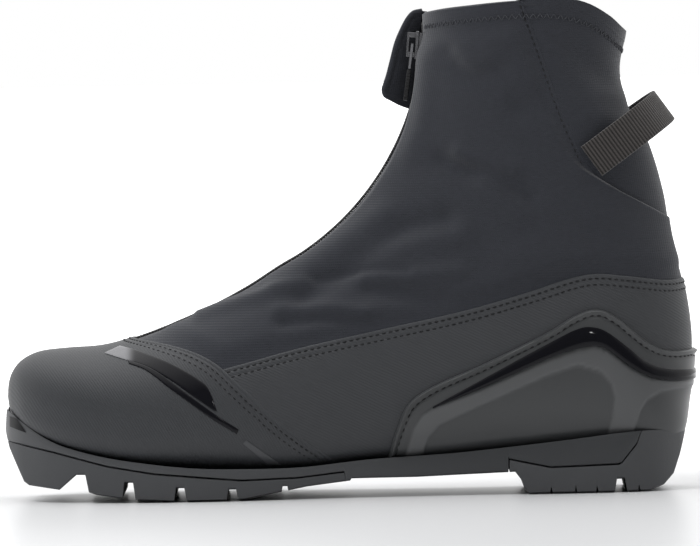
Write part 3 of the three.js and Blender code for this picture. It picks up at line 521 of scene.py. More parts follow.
INLAY_TOP = [(34, 38), (56.8, 49.9), (83, 63.4), (96.3, 69.7), (103.5, 70.2), (109.5, 67.6), (118.2, 60.6),
             (125.2, 54.7), (134, 51.5), (147, 50.8)]
INLAY_LOW = [(34, 37.4), (55, 45.5), (83, 57.3), (96.5, 61.6), (104.5, 62.3), (110, 59.8), (118.2, 53.1), (127, 48.3),
             (135.7, 46.8), (147, 46.9)]
FEATHER = line([(-158, 46), (-148.5, 39.3), (-140.6, 33.2), (-130.7, 26.8), (-120, 22.6), (-101, 18.2), (-71.4, 14.3),
                (-47, 13.3), (-21.5, 13.4), (7, 16), (46.4, 18.2), (90.3, 22.5), (112, 24.9), (128, 25.8), (158, 25.4)])


def rim(u, under=2.0):
    """The angle on the outer side where the body sinks behind the top edge of the sole."""
    angles = np.linspace(np.pi / 2, np.pi, 300)
    point = body(u[:, None], angles[None])
    over = point[..., 2] - height_on(FEATHER, point[..., 0]) + under
    return angles[np.minimum((over > 0).cumprod(axis=1).sum(axis=1), len(angles) - 1)]


def rim_line(start, end, side=1, count=120):
    u = np.linspace(start, end, count)
    return np.stack([u, side * rim(u)], -1)


def at_width(u, distance):
    """The angle near the top where the body is that far from its centre line."""
    angles = np.linspace(0, np.pi / 2, 400)
    y = np.abs(body(u[:, None], angles[None])[..., 1] - along(STATIONS, u)[..., 5:6])
    return np.array([np.interp(distance, row, angles) for row in y])


def back_place(z):
    """The u at which the back of the boot is at height z."""
    u = np.linspace(0.6, 1, 500)
    return float(np.interp(z, along(STATIONS, u)[:, 3], u))


def straight(start, end, count=60):
    return np.linspace(start, end, count)


def mirrored(curve):
    return curve * (1, -1)


def past_back(curve):
    """The same curve on the inner side, with its angle counted on past the back of the boot."""
    return np.stack([curve[:, 0], 2 * np.pi - curve[:, 1]], -1)


def both_sides(outer):
    """A curve that ends at the back, carried on along the inner side."""
    return np.concatenate([outer, past_back(outer[::-1])[1:]])


def nearest(curve, place):
    """Which place of a curve is nearest to (u, a)."""
    return int(np.argmin(np.abs(curve - place).sum(axis=1)))


def nearest_in_view(curve, place):
    """Which place of a curve is nearest to (u, a) in the side view."""
    return int(np.argmin(np.hypot(*(body(*curve.T) - body(*place))[:, [0, 2]].T)))


def collar_line(drop=0.0, count=200):
    """The collar's top line, or a line that far below it, on the outer side."""
    return trace([(x, z - drop) for x, z in COLLAR_TOP], 1, count)


def height_on(table, x):
    """Height at x on a table of (x, z)."""
    return np.interp(x, table[:, 0], table[:, 1])


def bell(value, half):
    """1 where the value is 0, falling off on both sides."""
    return np.exp(-((value / half) ** 2))


print("length of the zip edge:", round(lengths(np.stack([np.linspace(0.3, 0.93, 60), np.zeros(60)], -1))[-1]), "mm")

# %% [markdown]
# ## Cutting the panels
# A shoemaker cuts each panel flat and stretches it. Here a panel is the patch between four seams: the sum of
# the two blends between opposite seams, less the blend of the four corners. Rows of points are crowded along
# the edges and the stitch lines, so that folded edges and sunk stitches stay crisp.


# %% Panels between four seams
def span(length, pitch, near=(), far=()):
    """Shares of a length: at the given distances in from its ends, and evenly about a pitch apart between them."""
    start, end = max(near, default=0), length - max(far, default=0)
    middle = np.linspace(start, end, max(2, int(round((end - start) / pitch)) + 1))
    ends = [0, length, *near, *(length - f for f in far)]
    return np.unique(np.clip(np.concatenate([middle, ends]) / length, 0, 1).round(6))


EDGE_ROWS = (0.12, 0.35, 0.7, 1.1)
SEAM_ROWS = (0.12, 0.35, 0.7, 1.1, 1.5, 1.8, 2.1, 2.4, 2.9, 3.6, 4.2, 4.6, 4.9, 5.2, 5.7)


def cut(bottom, top, left, right, pitch=1.6, near=((), (), (), ())):
    """The patch between four curves on the body, with each point's distance from each edge."""
    p = span((lengths(bottom)[-1] + lengths(top)[-1]) / 2, pitch, near[0], near[1])
    q = span((lengths(left)[-1] + lengths(right)[-1]) / 2, pitch, near[2], near[3])
    b, t, l, r = even(bottom, p), even(top, p), even(left, q), even(right, q)
    x, y = p[:, None, None], q[None, :, None]
    place = (1 - y) * b[:, None] + y * t[:, None] + (1 - x) * l[None] + x * r[None]
    place -= (1 - x) * ((1 - y) * b[0] + y * t[0]) + x * ((1 - y) * b[-1] + y * t[-1])
    u, a = place[..., 0], place[..., 1]
    point = body(u, a)
    go_p = np.linalg.norm(np.diff(point, axis=0), axis=-1)
    go_q = np.linalg.norm(np.diff(point, axis=1), axis=-1)
    from_left = np.concatenate([np.zeros((1, len(q))), np.cumsum(go_p, 0)])
    from_bottom = np.concatenate([np.zeros((len(p), 1)), np.cumsum(go_q, 1)], axis=1)
    return SimpleNamespace(
        u=u, a=a, point=point, out=normal(u, a), left=from_left, right=from_left[-1:] - from_left,
        bottom=from_bottom, top=from_bottom[:, -1:] - from_bottom)


def rolled(distance, drop, radius=0.9):
    """How far a turned edge sinks at a distance in from it: a quarter circle of that radius."""
    inside = np.clip(1 - distance / radius, 0, 1)
    return drop * (1 - np.sqrt(1 - inside**2))


def sunk(distance, at, depth=0.22, half=0.5):
    """The groove that a row of stitches pulls into a panel."""
    return depth * bell(distance - at, half)


ROW_NEAR, ROW_FAR = 2.0, 4.7


def double_seam(distance):
    """The two grooves of an edge with two rows of stitches."""
    return sunk(distance, ROW_NEAR), sunk(distance, ROW_FAR)


def sew_up(name, patch, lift, thick, material, rounded="", replaces=(), marks=None, pull=0.6, **more):
    """Makes a panel of the given thickness whose outer face is lifted off the body by an array of heights."""
    for side in rounded.split():
        lift = lift - rolled(getattr(patch, side), thick * pull)
    near = np.min([getattr(patch, side) for side in (rounded.split() or ["left", "right"])], axis=0)
    outer = patch.point + patch.out * lift[..., None]
    floor = np.minimum(lift - 0.25 * thick, lift.max() - thick if np.ndim(thick) == 0 else lift - thick)
    inner = patch.point + patch.out * floor[..., None]
    cloth = np.stack([patch.left, patch.bottom, 0 * patch.left], -1).reshape(-1, 3) * MM
    all_marks = {"cloth": np.concatenate([cloth, cloth])}
    all_marks["edge"] = np.tile(np.exp(-near / 0.7).ravel() if rounded else 0 * near.ravel(), 2)
    for key, values in (marks or {}).items():
        all_marks[key] = np.tile(values.ravel(), 2)
    piece = build_sheet(name, outer, inner, material, replaces=replaces, marks=all_marks, **more)
    print(f"{name}: {len(piece.data.polygons)} faces")
    return piece


def distance_to(points, x, z):
    """Distance of places (x, z) of the side view from a line through points."""
    best = np.full(np.shape(x), 1e9)
    for (x0, z0), (x1, z1) in zip(points[:-1], points[1:]):
        run = max((x1 - x0) ** 2 + (z1 - z0) ** 2, 1e-9)
        t = np.clip(((x - x0) * (x1 - x0) + (z - z0) * (z1 - z0)) / run, 0, 1)
        best = np.minimum(best, np.hypot(x - x0 - t * (x1 - x0), z - z0 - t * (z1 - z0)))
    return best


def inside(points, x, z):
    """True where (x, z) lies inside the outline."""
    odd = np.zeros(np.shape(x), bool)
    for (x0, z0), (x1, z1) in zip(points, np.roll(points, -1, axis=0)):
        crosses = (z0 > z) != (z1 > z)
        with np.errstate(divide="ignore", invalid="ignore"):
            odd ^= crosses & (x < (x1 - x0) * (z - z0) / (z1 - z0) + x0)
    return odd


def smoothstep(value):
    value = np.clip(value, 0, 1)
    return value * value * (3 - 2 * value)


def region(points, x, z, soft=0.6):
    """1 inside the outline and 0 outside, with a soft edge."""
    points = np.asarray(points, float)
    far = distance_to(np.concatenate([points, points[:1]]), x, z)
    return smoothstep(0.5 + np.where(inside(points, x, z), far, -far) / (2 * soft))


# %% [markdown]
# ## Toe cap
# The vamp is one piece of ribbed synthetic leather, drawn over the toes from the sole on one side to the sole
# on the other. Its rear edge is cut, lies over the other panels and is held by two rows of stitches.

# %% Toe cap
vamp_outer = trace(VAMP_EDGE)
vamp_end = vamp_outer[-1, 0]
vamp_rear = np.concatenate([vamp_outer[::-1], mirrored(vamp_outer)[1:]])
toe_tip = straight((0, np.pi), (0, -np.pi), 90)
patch = cut(toe_tip, vamp_rear, rim_line(0, vamp_end), rim_line(0, vamp_end, -1), pitch=1.5,
            near=((), (), (0.4, 0.9, 1.5), SEAM_ROWS))
near, far = double_seam(patch.top)
lift = 0.05 - near - far
sew_up("toe_cap_skin", patch, lift, 0.9, LEATHER, rounded="top", replaces=["toe_cap"])

# %% [markdown]
# ## Quarters
# The quarters run from under the vamp to the back of the heel, one on each side. Their top edge lies over the
# softshell and has two rows of stitches.

# %% Quarters
heel_low = back_place(23.4)
heel_high = back_place(90.2)
QUARTER_TUCK = 1.5
for side, sign in (("outer", 1), ("inner", -1)):
    front = beside(trace(VAMP_EDGE, 1, 160), -QUARTER_TUCK)
    top = trace(QUARTER_TOP)
    top[-1] = heel_high, np.pi
    start = nearest_in_view(front, top[0])
    front = front[start:][::-1]
    top[0] = front[-1]
    bottom = rim_line(front[0, 0], heel_low)
    bottom[0] = front[0]
    bottom[-1] = heel_low, np.pi
    rear = straight((heel_low, np.pi), (heel_high, np.pi))
    flip = (1, sign)
    patch = cut(bottom * flip, top * flip, front * flip, rear * flip, pitch=1.6, near=((), (), (), SEAM_ROWS))
    near, far = double_seam(patch.top)
    lift = -0.3 - near - far
    sew_up(f"quarter_skin_{side}", patch, lift, 0.8, QUARTER_LEATHER, rounded="top", replaces=[f"quarter_{side}"])

# %% [markdown]
# ## Softshell cover
# The cover is stretch cloth with nothing stiff behind it. Where the ankle bends, it falls into long soft folds.
# Each fold is a line on the side view with a width and a height, and adds a bell-shaped swell or dip.

# %% Softshell cover
FOLDS = [
    ([(-30.3, 89.4), (-6, 104.7), (15.4, 119.2)], 6.0, 1.3),
    ([(-20.3, 85), (3.2, 99.5), (23.2, 112.7), (41, 117.4)], 5.5, -1.5),
    ([(10.4, 103.6), (28.2, 107.5), (47.3, 110.8)], 6.0, 1.1),
    ([(-64.5, 77.6), (-43.1, 84), (-18.1, 90.6)], 2.5, 1.0),
    ([(-14.6, 92.7), (6.8, 96.2), (24.6, 95.2)], 2.2, -0.8),
    ([(6.8, 92.3), (28.2, 93.7), (46.7, 95.1)], 4.0, 1.1),
    ([(8.2, 88.7), (24.6, 85.5), (38.9, 81.7)], 5.0, -1.7),
    ([(-30.3, 78.7), (-11, 79.8), (6.8, 78)], 3.5, 1.1),
    ([(-28.9, 74.8), (-10.3, 75.9), (8.2, 72.3)], 3.2, -1.5),
    ([(44.8, 188.4), (49.3, 181.1), (55.7, 179.1), (64.7, 181.7)], 4.6, -1.0),
    ([(48.4, 187.5), (55.7, 184.6), (62.9, 186.3)], 5.0, 0.7),
    ([(34.8, 184), (33, 160.6), (26.7, 144.4)], 4.5, 0.8),
    ([(73.8, 165.2), (86.4, 166.8)], 6.0, -1.2),
    ([(40.3, 142.3), (49.3, 138.5), (62.9, 137.4), (77.4, 127.2)], 4.5, -1.4),
    ([(48.4, 145.6), (57.5, 141.1), (70.2, 138.2)], 4.0, 1.2),
    ([(59.3, 131.1), (72, 120)], 6.0, 0.9),
    ([(88.6, 173.6), (94.6, 156.1)], 4.5, -0.9),
    ([(100, 108), (118, 104)], 8.0, -0.5),
    ([(70, 98), (92, 101)], 9.0, 0.8),
]

FOLD_DEPTH, PUFF = 1.6, 2.1


def folds(x, z, shift=(0, 0)):
    total = np.zeros(np.shape(x))
    for points, width, height in FOLDS:
        moved = np.asarray(points, float) + shift
        moved = line(moved, 9) if len(points) > 2 else moved
        total += FOLD_DEPTH * height * bell(distance_to(moved, x, z), width)
    return total


ZIP_EDGE, UNDERLAP, COLLAR_DROP = 4.6, -3.0, 0.9
COVER_LIFT, ZIP_STITCH_IN, SEAM_STITCH_IN = -0.95, 2.8, 1.7
vamp_edge, quarter_edge = line(VAMP_EDGE, 60), line(QUARTER_TOP, 60)
for side, sign, shift in (("outer", 1, (0, 0)), ("inner", -1, (5, -4))):
    vamp = trace(VAMP_EDGE, 1, 160)
    top = trace(QUARTER_TOP)
    join = nearest_in_view(vamp, top[0])
    start_u = vamp[0, 0]
    corner = (start_u, at_width(np.array([start_u]), ZIP_EDGE)[0])
    low = beside(np.concatenate([vamp[4 : join + 1], top[2:]]), UNDERLAP)
    low[0] = corner
    low[-1] = back_place(87), np.pi
    seam = trace(COLLAR_SEAM)[::-1]
    rear = np.concatenate([straight((low[-1, 0], np.pi), (seam[0, 0], np.pi), 20)[:-1], seam])
    collar = collar_line(COLLAR_DROP, 120)
    end_u = collar[0, 0]
    u = np.linspace(start_u, end_u, 120)
    front = np.stack([u, at_width(u, ZIP_EDGE)], -1)
    first = nearest(collar, rear[-1])
    collar = collar[: first + 1]
    collar[0], rear[-1] = front[-1], collar[-1]
    flip = (1, sign)
    patch = cut(low * flip, collar * flip, front * flip, rear * flip, pitch=1.5,
                near=((), (), (0.12, 0.35, 0.7, 1.1, 1.8, 2.4, 2.9, 3.4), EDGE_ROWS))
    x, z = patch.point[..., 0], patch.point[..., 2]
    calm = smoothstep((patch.left - 3.2) / 8) * smoothstep((patch.right - 3) / 8)
    from_seams = np.minimum(distance_to(vamp_edge, x, z), distance_to(quarter_edge, x, z))
    calm *= smoothstep((patch.top - 8) / 9) * smoothstep((from_seams - 1) / 8)
    lift = COVER_LIFT + (PUFF + folds(x, z, shift)) * calm - sunk(patch.left, ZIP_STITCH_IN, 0.3)
    lift = lift - sunk(patch.right, SEAM_STITCH_IN, 0.3)
    sew_up(f"softshell_cover_{side}", patch, lift, 0.6, SOFTSHELL, rounded="left right",
           replaces=[f"zip_cover_{side}"])

# %% [markdown]
# ## Rear collar panel
# A softer panel with a deep V shape lets the heel flex. It lies just under the edge of the covers.

# %% Rear collar panel
seam = beside(trace(COLLAR_SEAM)[::-1], 1.6)
seam[0] = back_place(117), np.pi
other = past_back(seam)
collar = collar_line(COLLAR_DROP)
first = nearest(collar, seam[-1])
collar = collar[first:]
collar[-1, 1] = np.pi
rear_top = both_sides(collar)
seam[-1], other[-1] = rear_top[0], rear_top[-1]
patch = cut(np.repeat(seam[:1], 90, 0), rear_top, seam, other, pitch=1.5)
x, z = patch.point[..., 0], patch.point[..., 2]
REAR_FOLDS = [([(100, 186), (110, 178)], 5.0, -0.9), ([(108, 160), (122, 150)], 6.0, 0.7),
              ([(104, 170), (118, 168)], 4.0, 0.6)]
swell = sum(h * bell(distance_to(np.array(p, float), x, z), w) for p, w, h in REAR_FOLDS)
calm = smoothstep(patch.left / 8) * smoothstep(patch.right / 8) * smoothstep(patch.top / 8)
sew_up("collar_rear_skin", patch, -1.5 + (0.5 + swell) * calm, 0.5, SOFTSHELL, replaces=["collar_panel_rear"])

# %% [markdown]
# ## Collar hem
# The cloth turns over the padded top line and is caught inside by a zigzag stitch. The hem is a profile, the
# shape of that turn, carried round the collar from one side of the zip to the other.

# %% Collar hem
collar = collar_line()
first = int(np.argmax(np.abs(body(*collar.T)[:, 1]) > ZIP_EDGE + 0.3))
collar = collar[first:]
collar[-1, 1] = np.pi
ring = both_sides(collar)
ring = even(ring, np.linspace(0, 1, 260))
path, out = body(*ring.T), normal(*ring.T)
ahead = unit(np.gradient(path, axis=0))
up = unit(np.cross(out, ahead))
up *= np.sign(up[:, 2:3])
HEM = [(-0.95, -1.9), (-0.95, -1.4), (-1.0, -1.0), (-1.25, -0.6), (-1.8, -0.25), (-2.6, -0.05), (-3.5, 0), (-4.4, -0.15),
       (-5.2, -0.55), (-5.7, -1.2), (-5.95, -2.2), (-6.1, -5), (-6.15, -8.2), (-6.0, -8.6), (-5.6, -8.6), (-5.3, -8),
       (-5.1, -5), (-4.6, -3), (-3.2, -2.4), (-1.8, -2.2)]
hem_points = sweep(path, out, up, HEM)
hem_cloth = np.stack(np.meshgrid(np.linspace(0, 260, len(hem_points)), np.linspace(0, 14, len(HEM)), indexing="ij")
                     + [np.zeros((len(hem_points), len(HEM)))], -1).reshape(-1, 3) * MM
build_ring("collar_hem_fold", hem_points, SOFTSHELL, replaces=["collar_hem"], marks={"cloth": hem_cloth})
print("collar hem:", round(np.linalg.norm(np.diff(path, axis=0), axis=1).sum()), "mm round")

# %% [markdown]
# ## Heel counter
# The counter is moulded: a cup that stands about two millimetres proud, with a rolled rim, a stitched groove
# inside the rim, and a raised lighter band that branches into two legs. The relief is a height over the body.

# %% Heel counter
BAND = [(22.1, 18.1), (26.1, 29.4), (29.6, 34.7), (34.4, 37.6), (55, 44.9), (83, 56.7), (96.5, 61), (104.5, 61.7),
        (109.8, 59.2), (118, 52.5), (126.8, 47.7), (135.7, 46.2), (147, 46.4), (147, 44),
        (146.3, 43.9), (130.5, 42.1), (124.8, 38.9), (122.1, 34.6), (119.5, 25.9), (119, 20), (107.5, 20), (108.5, 24.7),
        (110.3, 31.3), (111.6, 40.1), (110.3, 46.2), (105.9, 51.5), (96.3, 54.7), (83.1, 50.5), (56.8, 39.1),
        (36.6, 30.3), (31.8, 25.6), (29.6, 19.1), (28.5, 15), (21, 14)]


def counter_line(points):
    outer = trace(points, 1, 160)
    outer[-1, 1] = np.pi
    return both_sides(outer)


edge = line(COUNTER_EDGE, 300)
corner = int(np.argmin(np.abs(edge[:, 0] - 25.5)))
top = counter_line(edge[corner::4])
side_line = locate(edge[: corner + 1 : 3])
side_line[-1] = top[0]
low_u = side_line[0, 0]
bottom_outer = rim_line(low_u, heel_low)
bottom_outer[0] = side_line[0]
bottom_outer[-1] = heel_low, np.pi
bottom = both_sides(bottom_outer)
other = past_back(side_line)
GROOVE_IN, COUNTER_LIFT, BAND_HEIGHT = 2.7, 1.35, 0.5
RIM_ROWS = (0.2, 0.5, 0.9, 1.3, 1.7, 2.1, 2.5, 2.9, 3.3, 3.8, 4.4)
patch = cut(bottom, top, side_line, other, pitch=0.65, near=(RIM_ROWS, RIM_ROWS, (), RIM_ROWS))
x, z = patch.point[..., 0], patch.point[..., 2]
from_edge = distance_to(line(COUNTER_EDGE, 90), x, z)
bead = 0.75 * bell(from_edge - 0.9, 0.75) - 0.45 * bell(from_edge - GROOVE_IN, 0.45)
raised = region(BAND, x, z, 0.55)
lift = COUNTER_LIFT + bead + BAND_HEIGHT * raised - rolled(from_edge, 0.9, 1.0)
sew_up("heel_counter_shell", patch, lift, 1.6, COUNTER, rounded="left right top", replaces=["heel_counter"],
       marks={"raised": raised}, pull=0.35)

# %% Gloss inlay
low, high = counter_line(INLAY_LOW), counter_line(INLAY_TOP)
tip = straight(low[0], high[0], 12)
patch = cut(low, high, tip, past_back(tip), pitch=0.8, near=((), (), EDGE_ROWS, EDGE_ROWS))
height = patch.top + patch.bottom
dome = np.sqrt(np.clip(4 * patch.top * patch.bottom / np.maximum(height, 0.1) ** 2, 0, 1))
lift = 2.1 + (0.1 * dome + 0.9 * patch.top / np.maximum(height, 0.1)) * np.clip(height / 6, 0.2, 1)
sew_up("heel_inlay_gloss", patch, lift, 1.3, GLOSS, rounded="bottom top", replaces=["heel_counter_inlay"],
       marks={"raised": 0 * lift}, pull=0.3)

# %% [markdown]
# ## Toe film
# A thin polished blade is welded on the outer side of the vamp, with a narrow stripe beside it and a satin strip
# behind it. The blade's upper end fades to a pale grey, a painted reflection of the bright room.

# %% Toe film
BLADE_LOW = [(-105.7, 62.8), (-99.2, 60.9), (-92, 58.8), (-84.7, 56), (-75.5, 50.4), (-68.2, 45), (-58.6, 38.2)]
BLADE_TOP = [(-99, 65.6), (-93, 64.2), (-86, 61.9), (-78.1, 58.8), (-71.5, 55.4), (-65.6, 51.8), (-61.2, 47.8),
             (-57.6, 38.1)]
STRIPE_LOW = [(-95, 58.6), (-88.5, 56.2), (-83, 52.5), (-79, 49.2), (-70, 42.5), (-60, 35), (-49.4, 28.3)]
STRIPE_TOP = [(-95.5, 60), (-87.5, 57.5), (-81.5, 54.2), (-77.4, 51.2), (-68.5, 44.4), (-58.5, 36.9), (-48.6, 30.2)]
FILM_LIFT = 0.45
TAIL_LOW = [(-46.9, 24.2), (-41.4, 19.3), (-35.8, 14.4)]
TAIL_TOP = [(-45.4, 25.6), (-38.2, 20.2), (-31, 14.6)]
for name, low, high, material in (
        ("toe_film_blade", BLADE_LOW, BLADE_TOP, GLOSS), ("toe_film_stripe", STRIPE_LOW, STRIPE_TOP, GLOSS),
        ("toe_film_tail", TAIL_LOW, TAIL_TOP, SATIN_FILM)):
    low, high = trace(low), trace(high)
    patch = cut(low, high, straight(low[0], high[0], 12), straight(low[-1], high[-1], 12), pitch=0.8,
                near=((0.3,), (0.3,), EDGE_ROWS, EDGE_ROWS))
    # Pale grey painted on the blade's upper end: a painted reflection of the bright room.
    painted_reflection = smoothstep((-92 - patch.point[..., 0]) / 5) * (name == "toe_film_blade")
    sew_up(name, patch, np.full_like(painted_reflection, FILM_LIFT), 0.3, material, rounded="bottom top left right",
           replaces=["toe_cap_film"] if name == "toe_film_blade" else [], marks={"raised": painted_reflection})

# %% [markdown]
# ## Stitching
# Each stitch is a short length of thread that dives into the panel at both ends: a capsule along the seam,
# bent down a little. A whole row is one mesh.


# %% Stitching
def thread(starts, ends, outward, radius):
    """Points of threads from starts to ends: rings whose radius swells from nothing and whose middle rises."""
    share = np.array([0, 0.06, 0.25, 0.5, 0.75, 0.94, 1])[None, :, None, None]
    size = np.array([0, 0.7, 1, 1.05, 1, 0.7, 0])[None, :, None, None] * radius
    rise = np.array([-1.2, -0.5, 0.3, 0.5, 0.3, -0.5, -1.2])[None, :, None, None] * radius
    turn = np.linspace(0, 2 * np.pi, 7)[:-1][None, None, :, None]
    run, n = (ends - starts)[:, None, None], outward[:, None, None]
    across = unit(np.cross(outward, ends - starts))[:, None, None]
    points = starts[:, None, None] + run * share + n * rise + size * (np.cos(turn) * across + np.sin(turn) * n)
    count = len(starts)
    quads = np.concatenate([grid_quads(7, 6, k * 42, wrap=True) for k in range(count)])
    return points.reshape(-1, 3), quads


def stitch_row(name, curve, lift, pitch=2.85, length=2.0, radius=0.27, skip=1.5):
    """A row of stitches along a curve on the body."""
    far = lengths(curve)[-1]
    middle = np.arange(skip, far - skip, pitch)
    at = even(curve, np.stack([middle - length / 2, middle + length / 2, middle], -1).ravel() / far).reshape(-1, 3, 2)
    point, out = body(at[..., 0], at[..., 1]), normal(at[..., 0], at[..., 1])
    point = point + out * lift
    points, quads = thread(point[:, 0], point[:, 1], out[:, 2], radius)
    build(name, points, quads, THREAD, angle=180)
    return len(middle)


def above_rim(curve, margin=0.6):
    """The part of a curve that shows above the sole."""
    point = body(*curve.T)
    return curve[point[:, 2] > height_on(FEATHER, point[:, 0]) + margin]


total = 0
for side, sign in (("outer", 1), ("inner", -1)):
    flip = (1, sign)
    vamp = trace(VAMP_EDGE, 1, 240)
    for row, far in (("a", ROW_NEAR), ("b", ROW_FAR)):
        total += stitch_row(f"vamp_stitches_{side}_{row}", above_rim(beside(vamp, -far)) * flip, -0.1)
    quarter = trace(QUARTER_TOP, 1, 240)
    quarter[-1, 1] = np.pi
    for row, far in (("a", ROW_NEAR), ("b", ROW_FAR)):
        shown = beside(quarter, -far)
        shown[:, 1] = np.minimum(shown[:, 1], np.pi)
        point, vamp_line = body(*shown.T), line(VAMP_EDGE)[::-1]
        shown = shown[point[:, 0] > np.interp(point[:, 2], vamp_line[:, 1], vamp_line[:, 0]) + 0.5]
        total += stitch_row(f"quarter_stitches_{side}_{row}", shown * flip, -0.45)
    seam = trace(COLLAR_SEAM, 1, 240)[6:]
    total += stitch_row(f"collar_seam_stitches_{side}", beside(seam, -SEAM_STITCH_IN) * flip, -1.15, radius=0.25)
    u = np.linspace(vamp_outer[0, 0] + 0.01, end_u - 0.01, 240)
    zip_row = beside(np.stack([u, at_width(u, ZIP_EDGE)], -1), -ZIP_STITCH_IN)
    total += stitch_row(f"zip_edge_stitches_{side}", zip_row * flip, -1.15, radius=0.22)
counter_edge = counter_line(edge[::3])
total += stitch_row("counter_stitches", above_rim(beside(counter_edge, -GROOVE_IN)), 1.0, pitch=3.2, length=2.1,
                    radius=0.26)
print("stitches:", total)

# %% Zigzag of the collar hem
ZIGZAG_DROP = 6.6
low_ring = collar_line(ZIGZAG_DROP)
low_ring = low_ring[int(np.argmax(np.abs(body(*low_ring.T)[:, 1]) > ZIP_EDGE + 1)) :]
low_ring[-1, 1] = np.pi
low_ring = both_sides(low_ring)
ZIGZAG, ZIGZAG_HALF = 1.5, 1.1
count = int(lengths(low_ring)[-1] / ZIGZAG)
at = even(low_ring, np.linspace(0.004, 0.996, count))
point, out = body(*at.T), normal(*at.T)
up = unit(np.cross(out, unit(np.gradient(point, axis=0))))
swing = np.where(np.arange(count) % 2, ZIGZAG_HALF, -ZIGZAG_HALF)[:, None]
point = point + out * -0.8 + up * swing
points, quads = thread(point[:-1], point[1:], out[:-1], 0.2)
build("collar_zigzag", points, quads, PALE_THREAD, angle=180)
print("zigzag stitches:", count)

# %% [markdown]
# ## Pull loop
# A tape of ribbed webbing runs from one collar seam round behind the heel to the other. It is a flat profile
# carried along the loop, and its ribs stand up across the tape. Their crests are painted lighter, as a painted
# highlight.

# %% Pull loop
STRAP_HALF, STRAP_REACH, STRAP_WIDTH, STRAP_THICK, STRAP_RISE = 36.4, 40.0, 15.4, 1.5, np.radians(35.5)
STRAP_X, STRAP_Z, STRAP_POWER = 103.8, 141.1, 2.6


def in_strap(reach, y, across):
    """Points of the loop's slanted plane: reach along the boot, y to the side, across the tape."""
    x = STRAP_X + reach * np.cos(STRAP_RISE) - across * np.sin(STRAP_RISE)
    return np.stack([x, y, STRAP_Z + reach * np.sin(STRAP_RISE) + across * np.cos(STRAP_RISE)], -1)


RIB_PITCH, RIB_HEIGHT = 1.5, 0.24
turn = np.linspace(-np.pi / 2, np.pi / 2, 150)
c, w = np.cos(turn), np.sin(turn)
r = (np.abs(c) ** STRAP_POWER + np.abs(w) ** STRAP_POWER) ** (-1 / STRAP_POWER)
middle = (STRAP_REACH - STRAP_THICK / 2) * r * np.maximum(c, 0), (STRAP_HALF + STRAP_THICK / 2) * r * w
path = in_strap(middle[0], middle[1], 0 * c)
far = np.concatenate([[0], np.cumsum(np.linalg.norm(np.diff(path, axis=0), axis=1))])
step = np.linspace(0, far[-1], int(far[-1] / RIB_PITCH * 7))
path = np.stack([np.interp(step, far, path[:, k]) for k in range(3)], -1)
across = np.repeat(in_strap(0, 0, 1)[None] - in_strap(0, 0, 0)[None], len(path), 0)
out = unit(np.cross(unit(np.gradient(path, axis=0)), across))
half, thin = STRAP_WIDTH / 2, STRAP_THICK / 2
corner = [(half - 0.5, thin), (half - 0.15, thin * 0.75), (half, 0), (half - 0.15, -thin * 0.75), (half - 0.5, -thin)]
flat = np.linspace(half - 2, -half + 2, 9)
tape = ([(s, thin * 0.93) for s in flat[::-1]] + corner + [(s, -thin * 0.93) for s in flat]
        + [(-s, -t) for s, t in corner])
tape_points = sweep(path, across, out, tape)
far = np.concatenate([step[:1], step, step[-1:]])
rib = 0.5 + 0.5 * np.cos(2 * np.pi * far / RIB_PITCH)
side = np.array([np.sign(t) * min(1, (half - abs(s)) / 0.6) for s, t in tape])
outward = np.concatenate([out[:1], out, out[-1:]])
tape_points += outward[:, None] * (rib[:, None, None] * side[None, :, None]) * RIB_HEIGHT
tape_cloth = np.stack([np.repeat(far[:, None], len(tape), 1), np.tile([s for s, _ in tape], (len(far), 1)),
                       np.zeros((len(far), len(tape)))], -1).reshape(-1, 3) * MM
# The rib crests go in as the mark "edge", which the webbing's finish paints lighter: a painted highlight on each rib.
build_ring("pull_loop_webbing", tape_points, WEBBING, body="pull_loop", replaces=["pull_loop"],
           marks={"cloth": tape_cloth, "edge": np.repeat(rib, len(tape))})
print("pull loop webbing:", round(far[-1]), "mm long")

# %% [markdown]
# ## Storm flap
# A doubled leaf of softshell is sewn to the inner side of the zip and folds back from the slider. It is drawn
# flat, swelled a little in the middle and rolled at its edge, then turned to where it stands open.

# %% Storm flap
FLAP_EDGE = [(-1, -1.6), (-6, -0.6), (-10.3, 0.8), (-13.8, 2.1), (-15.3, 4.8), (-15.1, 7.4), (-14.2, 11.4),
             (-13.2, 18.8), (-12.2, 26), (-10.3, 32.2), (-8, 37.4), (-5.2, 40.6), (-1, 42)]
FLAP_SEAT, FLAP_LEAN, FLAP_SPLAY, FLAP_THICK = (27.4, 11.5, 166.0), np.radians(8.4), np.radians(28), 1.6
rows = np.linspace(0, 1, 70)
outline = along(FLAP_EDGE, rows)
hinge = np.stack([np.full(70, -1.0), np.linspace(-1.6, 42, 70)], -1)
share = np.unique(np.concatenate([np.linspace(0, 0.92, 24), 1 - np.array([0.06, 0.04, 0.025, 0.012, 0.004, 0])]))
flat = hinge[:, None] * (1 - share[None, :, None]) + outline[:, None] * share[None, :, None]
from_edge = np.minimum(distance_to(outline, flat[..., 0], flat[..., 1]), 8)
roll = np.sqrt(1 - np.clip(1 - from_edge / 0.8, 0, 1) ** 2)
hem_line = 0.25 * bell(from_edge - 1.4, 0.9) - 0.15 * bell(from_edge - 3, 0.6)
bow = 0.9 * np.sin(np.pi * np.clip(-flat[..., 0] / 15, 0, 1)) * np.sin(np.pi * rows)[:, None]


def place_flap(x, y, z):
    """Turns the flat flap about its upright edge by the splay, leans it, and moves it to its seat."""
    c, s = np.cos(FLAP_SPLAY), np.sin(FLAP_SPLAY)
    x, y = c * x - s * y, s * x + c * y
    c, s = np.cos(FLAP_LEAN), np.sin(FLAP_LEAN)
    return np.stack([c * x + s * z, y, c * z - s * x], -1) + FLAP_SEAT


